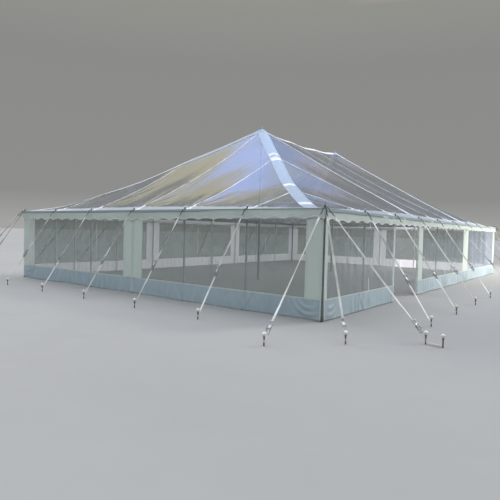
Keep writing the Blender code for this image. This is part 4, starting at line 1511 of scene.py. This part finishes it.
def wire_hook(reach):
    """A flat double hook of bent wire, X along the pull."""
    shapes = []
    for leg in (-1, 1):
        line = [(0, 0.006, 0), (0.02, 0.020, 0), (0.045, 0.022, 0), (0.060, 0.022, 0.006)]
        line += [(0.068, 0.022, 0.018), (0.060, 0.022, 0.028), (0.048, 0.022, 0.030)]
        shapes.append(tube([Vector((x, leg * y, z)) for x, y, z in line], reach, 8))
    bridge = tube([(0.0, -0.026, 0), (0.0, 0.026, 0)], reach, 8)
    return joined([*shapes, bridge])


# %% Straps
STRAP_WIDTH, STRAP_THICK = 0.040, 0.003
HOOK_LENGTH = 0.075  # from the ring to the strap's fold
RATCHET_LENGTH, RATCHET_SEAT = 0.20, 0.11  # its length, and from its base to its drum
SPARE_LENGTH = 0.34  # the strap's loose end, over the ratchet
STAKE_LOOP = 0.0155  # radius of the strap's loop round the stake


def strap_line(start, end, sag, steps):
    """A strap's line from start to end, hanging by sag in its middle."""
    shares = [step / steps for step in range(steps + 1)]
    return [start.lerp(end, share) - Vector((0, 0, sag * 4 * share * (1 - share))) for share in shares]


def straps(g, low):
    """The long strap from ring to ratchet, doubled at both its ends, and the short one to the stake."""
    slope, foot = g["slope"], g["foot"]
    off = along_slope(g, foot).to_3x3() @ Vector((0, 0, 1))
    side = (0, 1, 0)
    ratchet_low = foot - slope * g["ratchet_up"]
    ratchet_high = ratchet_low - slope * RATCHET_LENGTH
    top = low + slope * HOOK_LENGTH
    main = strap_line(top, ratchet_high + off * 0.012, 0.006, 24)
    shapes = [ribbon(main, side, STRAP_WIDTH, STRAP_THICK, g["twist"])]
    folded = [top, top + slope * 0.10 + off * 0.006, top + slope * 0.22 + off * 0.004]
    shapes.append(ribbon(folded, side, STRAP_WIDTH * 0.98, STRAP_THICK))
    spare_end = ratchet_high - slope * SPARE_LENGTH + off * 0.016
    spare = strap_line(ratchet_high + off * 0.020, spare_end, 0.0, 8)
    shapes.append(ribbon(spare, side, STRAP_WIDTH * 0.98, STRAP_THICK))
    shapes.append(ribbon([ratchet_low + off * 0.004, foot + off * 0.002], side, STRAP_WIDTH, STRAP_THICK))
    loop = [Vector((foot.x + STAKE_LOOP * c, STAKE_LOOP * s, foot.z)) for c, s in (*circle(20), (1, 0))]
    shapes.append(ribbon(loop, (0, 0, 1), STRAP_WIDTH * 0.9, STRAP_THICK))
    return joined(shapes)


# %% Ratchets
def crosswise(profile, sides, x, y, z):
    """A turned part with its axis across the ratchet."""
    return moved(turned(profile, sides), Matrix.Translation((x, y, z)) @ Matrix.Rotation(math.pi / 2, 4, "X"))


def rod(radius, width, sides, x, z):
    """A round rod across the ratchet."""
    return crosswise([(radius, -width / 2), (radius, width / 2)], sides, x, 0, z)


def ratchet():
    """A ratchet buckle lying along X, from its handle at -X to its base at +X."""
    tilt = Matrix.Rotation(math.radians(-9), 4, "Y")
    shapes = []
    for leg in (-1, 1):
        shapes.append(moved(bar(0.150, 0.003, 0.026), Matrix.Translation((0.045, leg * 0.030, 0.014))))
        handle = Matrix.Translation((-0.035, leg * 0.035, 0.032)) @ tilt
        shapes.append(moved(bar(0.185, 0.003, 0.022), handle))
        shapes.append(crosswise([(0.020, -0.0015), (0.020, 0.0015)], 14, 0.0, leg * 0.0325, 0.018))
    shapes.append(rod(0.010, 0.080, 14, 0, 0.018))
    shapes.append(rod(0.007, 0.072, 12, 0.110, 0.010))
    shapes.append(rod(0.011, 0.068, 12, -0.122, 0.046))
    shapes.append(moved(bar(0.05, 0.056, 0.003), Matrix.Translation((-0.04, 0, 0.030))))
    return joined(shapes)


def ratchet_wraps():
    """The webbing wound on the ratchet's drum."""
    return crosswise([(0.018, -0.024), (0.021, -0.022), (0.021, 0.022), (0.018, 0.024)], 18, 0, 0, 0.018)


print("a ratchet has", len(ratchet()[1]), "faces")

# %% Stakes and balls
def stake():
    head = STAKE_RISE
    profile = [(0.0125, 0.0), (0.0125, head - 0.022), (0.019, head - 0.018), (0.020, head - 0.008)]
    profile += [(0.016, head), (0.004, head + 0.002)]
    return turned(profile, 14)


def stake_ball():
    """A white ball with a moulded seam and a socket that fits the stake's head."""
    rows = 14
    profile = []
    for row in range(rows + 1):
        lean = math.pi * (0.06 + 0.92 * row / rows)
        bulge = 1 + 0.012 * math.exp(-(((lean - math.pi / 2) / 0.10) ** 2))
        profile.append((BALL_RADIUS * bulge * math.sin(lean), -BALL_RADIUS * math.cos(lean)))
    return turned(profile, 22)


print("a stake has", len(stake()[1]), "faces and its ball", len(stake_ball()[1]))

# %% Put the guys together
WEBBING_WIDTH, WEBBING_THICK = 0.038, 0.002  # of the webbing on the border
GUY_GROUPS = {
    "straps": (STRAP, "strap_webbing"),
    "links": (DARK_ROPE, "strap_webbing"),
    "ratchets": (STEEL, "pole_aluminium"),
    "stakes": (STAKE_STEEL, "pole_aluminium"),
    "balls": (BALL_PLASTIC, "white_vinyl"),
}


def edge_webbing(side):
    """The webbing sewn on the border's top, which the pins and links bear on."""
    half = half_of(side) + 0.03
    steps = round(2 * half / 0.25)
    line = [beside(side, (2 * s / steps - 1) * half, 0.036, EAVE + 0.0085) for s in range(steps + 1)]
    across = beside(side, 0, 1, 0) - beside(side, 0, 0, 0)
    return ribbon(line, across, WEBBING_WIDTH, WEBBING_THICK)


def guy_parts(side):
    groups = {group: [] for group in GUY_GROUPS}
    groups["straps"].append(edge_webbing(side))
    for g in guys_of(side):
        world = g["to_world"]
        link, low = rope_link(g)
        groups["links"].append(moved(link, world))
        groups["straps"].append(moved(straps(g, low), world))
        ring_spot = along_slope(g, low + g["slope"] * 0.006)
        hook_top = along_slope(g, low + g["slope"] * HOOK_LENGTH) @ Matrix.Rotation(math.pi, 4, "Z")
        seat = along_slope(g, g["foot"] - g["slope"] * (g["ratchet_up"] + RATCHET_SEAT))
        metal = [
            moved(ring(0.024, 0.004), ring_spot),
            moved(wire_hook(0.003), hook_top),
            moved(ratchet(), seat),
        ]
        groups["ratchets"] += [moved(shape, world) for shape in metal]
        groups["straps"].append(moved(moved(ratchet_wraps(), seat), world))
        for number in range(g["stakes"]):
            spot = world @ Matrix.Translation((g["foot"].x + number * STAKE_PAIR, 0, 0))
            groups["stakes"].append(moved(stake(), spot))
            lift = Matrix.Translation((0, 0, STAKE_RISE + BALL_RADIUS - 0.004))
            groups["balls"].append(moved(stake_ball(), spot @ lift))
        if g["stakes"] > 1:
            start = Vector((g["foot"].x, 0, STRAP_FOOT / 2))
            line = strap_line(start, start + Vector((STAKE_PAIR, 0, 0)), 0.01, 6)
            groups["straps"].append(moved(ribbon(line, (0, 1, 0), STRAP_WIDTH, 2 * STRAP_THICK), world))
    return groups


for side in RUN_SIDES:
    for group, shapes in guy_parts(side).items():
        replaced = [f"guys_{side}"] if group == "straps" else ()
        piece(f"guy_{group}_{side}", joined(shapes), *GUY_GROUPS[group], replaced)
    print(f"{side}: {len(guys_of(side))} guys")

# %% [markdown]
# ## The studio
#
# The tent stands on a plain pale floor under soft light. One soft sun comes from beyond the far end of the
# doorway side, where the photograph is brightest, and leaves the near end wall in shade, and a wide lamp
# adds to it there. A second, wider sun from behind shines through the far walls. The sky is a gradient,
# grey at the horizon and a soft blue higher up, because the clear roof shows mostly what it mirrors. Above
# the picture's top edge it holds a few soft patches, warm and blue, which the roof's near faces mirror.

# %% Floor
FLOOR_SIZE = 600.0
floor_shape = grid(1, 1, lambda u, v: Vector(((u - 0.5) * FLOOR_SIZE, (v - 0.5) * FLOOR_SIZE, -0.002)))
floor_mesh = bpy.data.meshes.new("floor")
floor_mesh.from_pydata(floor_shape[0], [], floor_shape[1])
floor_mesh.materials.append(
    plain_finish("floor_paint", (0.33, 0.32, 0.295), (0.31, 0.30, 0.277), 0.9, 0.0, 0.15, 0.0)
)
floor = bpy.data.objects.new("floor", floor_mesh)
bpy.context.collection.objects.link(floor)
print("floor", FLOOR_SIZE, "m square")

# %% Sky and sun
world = bpy.data.worlds.new("studio")
bpy.context.scene.world = world
world.use_nodes = True
sky_tree = world.node_tree
sky_tree.nodes.clear()
direction = add(sky_tree, "ShaderNodeTexCoord").outputs["Generated"]
height = add(sky_tree, "ShaderNodeSeparateXYZ", {"Vector": direction}).outputs["Z"]
SKY = [  # the colour from the horizon, at 0, up to the zenith, at 1
    (0.00, (0.38, 0.38, 0.37)),
    (0.07, (0.27, 0.27, 0.265)),
    (0.33, (0.26, 0.26, 0.255)),
    (0.46, (0.30, 0.30, 0.27)),
    (0.60, (0.46, 0.46, 0.43)),
    (0.73, (1.02, 1.14, 1.44)),
    (0.86, (1.80, 1.98, 2.40)),
    (1.00, (2.00, 2.20, 2.60)),
]
sky_colour = ramp(sky_tree, height, SKY)
# Each glow: its middle, the degrees out to its edge and to its full part, its colour, and the heights between
# which it fades in. None starts below 0.42, where the picture's top edge runs, so the backdrop stays plain.
GLOWS = (
    ((0.50, 0.67, 0.55), 16, 4, (0.56, 0.44, 0.16), (0.43, 0.50)),
    ((0.485, 0.545, 0.68), 8, 2, (0.02, 0.30, 1.30), (0.48, 0.62)),
    ((0.768, 0.314, 0.559), 10, 3, (0.08, 0.20, 0.60), (0.43, 0.50)),
    ((0.85, 0.29, 0.44), 7, 2, (0.35, 0.20, 0.10), (0.42, 0.46)),
)
SHADED_SIDE = (0.70, 0.74, 0.74)  # the sky is darker towards -X, so that the near end wall is in shade
towards = add(sky_tree, "ShaderNodeSeparateXYZ", {"Vector": direction}).outputs["X"]
side_share = ranged(sky_tree, towards, 0.0, 1.0, -0.9, 0.1)
shading = ramp(sky_tree, side_share, [(0.0, SHADED_SIDE), (1.0, (1.0, 1.0, 1.0))])
sky_colour = vectors(sky_tree, "MULTIPLY", sky_colour, shading).outputs[0]
for middle, edge, full, colour, rise in GLOWS:
    nearness = vectors(sky_tree, "DOT_PRODUCT", direction, Vector(middle).normalized()).outputs["Value"]
    reach = [math.cos(math.radians(angle)) for angle in (edge, full)]
    share = ranged(sky_tree, nearness, 0.0, 1.0, *reach)
    share = combined(sky_tree, "MULTIPLY", share, ranged(sky_tree, height, 0.0, 1.0, *rise))
    glow = ramp(sky_tree, share, [(0.0, (0, 0, 0)), (1.0, colour)])
    sky_colour = vectors(sky_tree, "ADD", sky_colour, glow).outputs[0]
background = add(sky_tree, "ShaderNodeBackground", {"Color": sky_colour, "Strength": 1.0})
add(sky_tree, "ShaderNodeOutputWorld", {"Surface": background.outputs[0]})

SUNS = {  # the direction it shines from, its strength and its width in degrees
    "soft_sun": ((0.72, -0.32, 0.62), 0.8, 9),
    "back_sun": ((0.10, 0.88, 0.46), 1.25, 25),
}
for name, (towards_sun, energy, wide) in SUNS.items():
    sun_data = bpy.data.lights.new(name, "SUN")
    sun_data.energy = energy
    sun_data.angle = math.radians(wide)
    sun_data.color = (1.0, 0.97, 0.92)
    sun = bpy.data.objects.new(name, sun_data)
    sun.matrix_world = Vector(towards_sun).to_track_quat("Z", "Y").to_matrix().to_4x4()
    bpy.context.collection.objects.link(sun)

LAMP_PLACE, LAMP_TARGET = Vector((26.0, -24.0, 12.0)), Vector((9.0, -6.3, 1.2))
lamp_data = bpy.data.lights.new("wide_lamp", "AREA")
lamp_data.energy, lamp_data.size, lamp_data.spread = 1400, 8.0, math.radians(44)
lamp_data.color = (1.0, 0.98, 0.94)
lamp = bpy.data.objects.new("wide_lamp", lamp_data)
backwards = (LAMP_PLACE - LAMP_TARGET).to_track_quat("Z", "Y")
lamp.matrix_world = Matrix.Translation(LAMP_PLACE) @ backwards.to_matrix().to_4x4()
lamp.visible_glossy = False
bpy.context.collection.objects.link(lamp)
bpy.context.scene.view_settings.view_transform = "Standard"
print("studio ready")
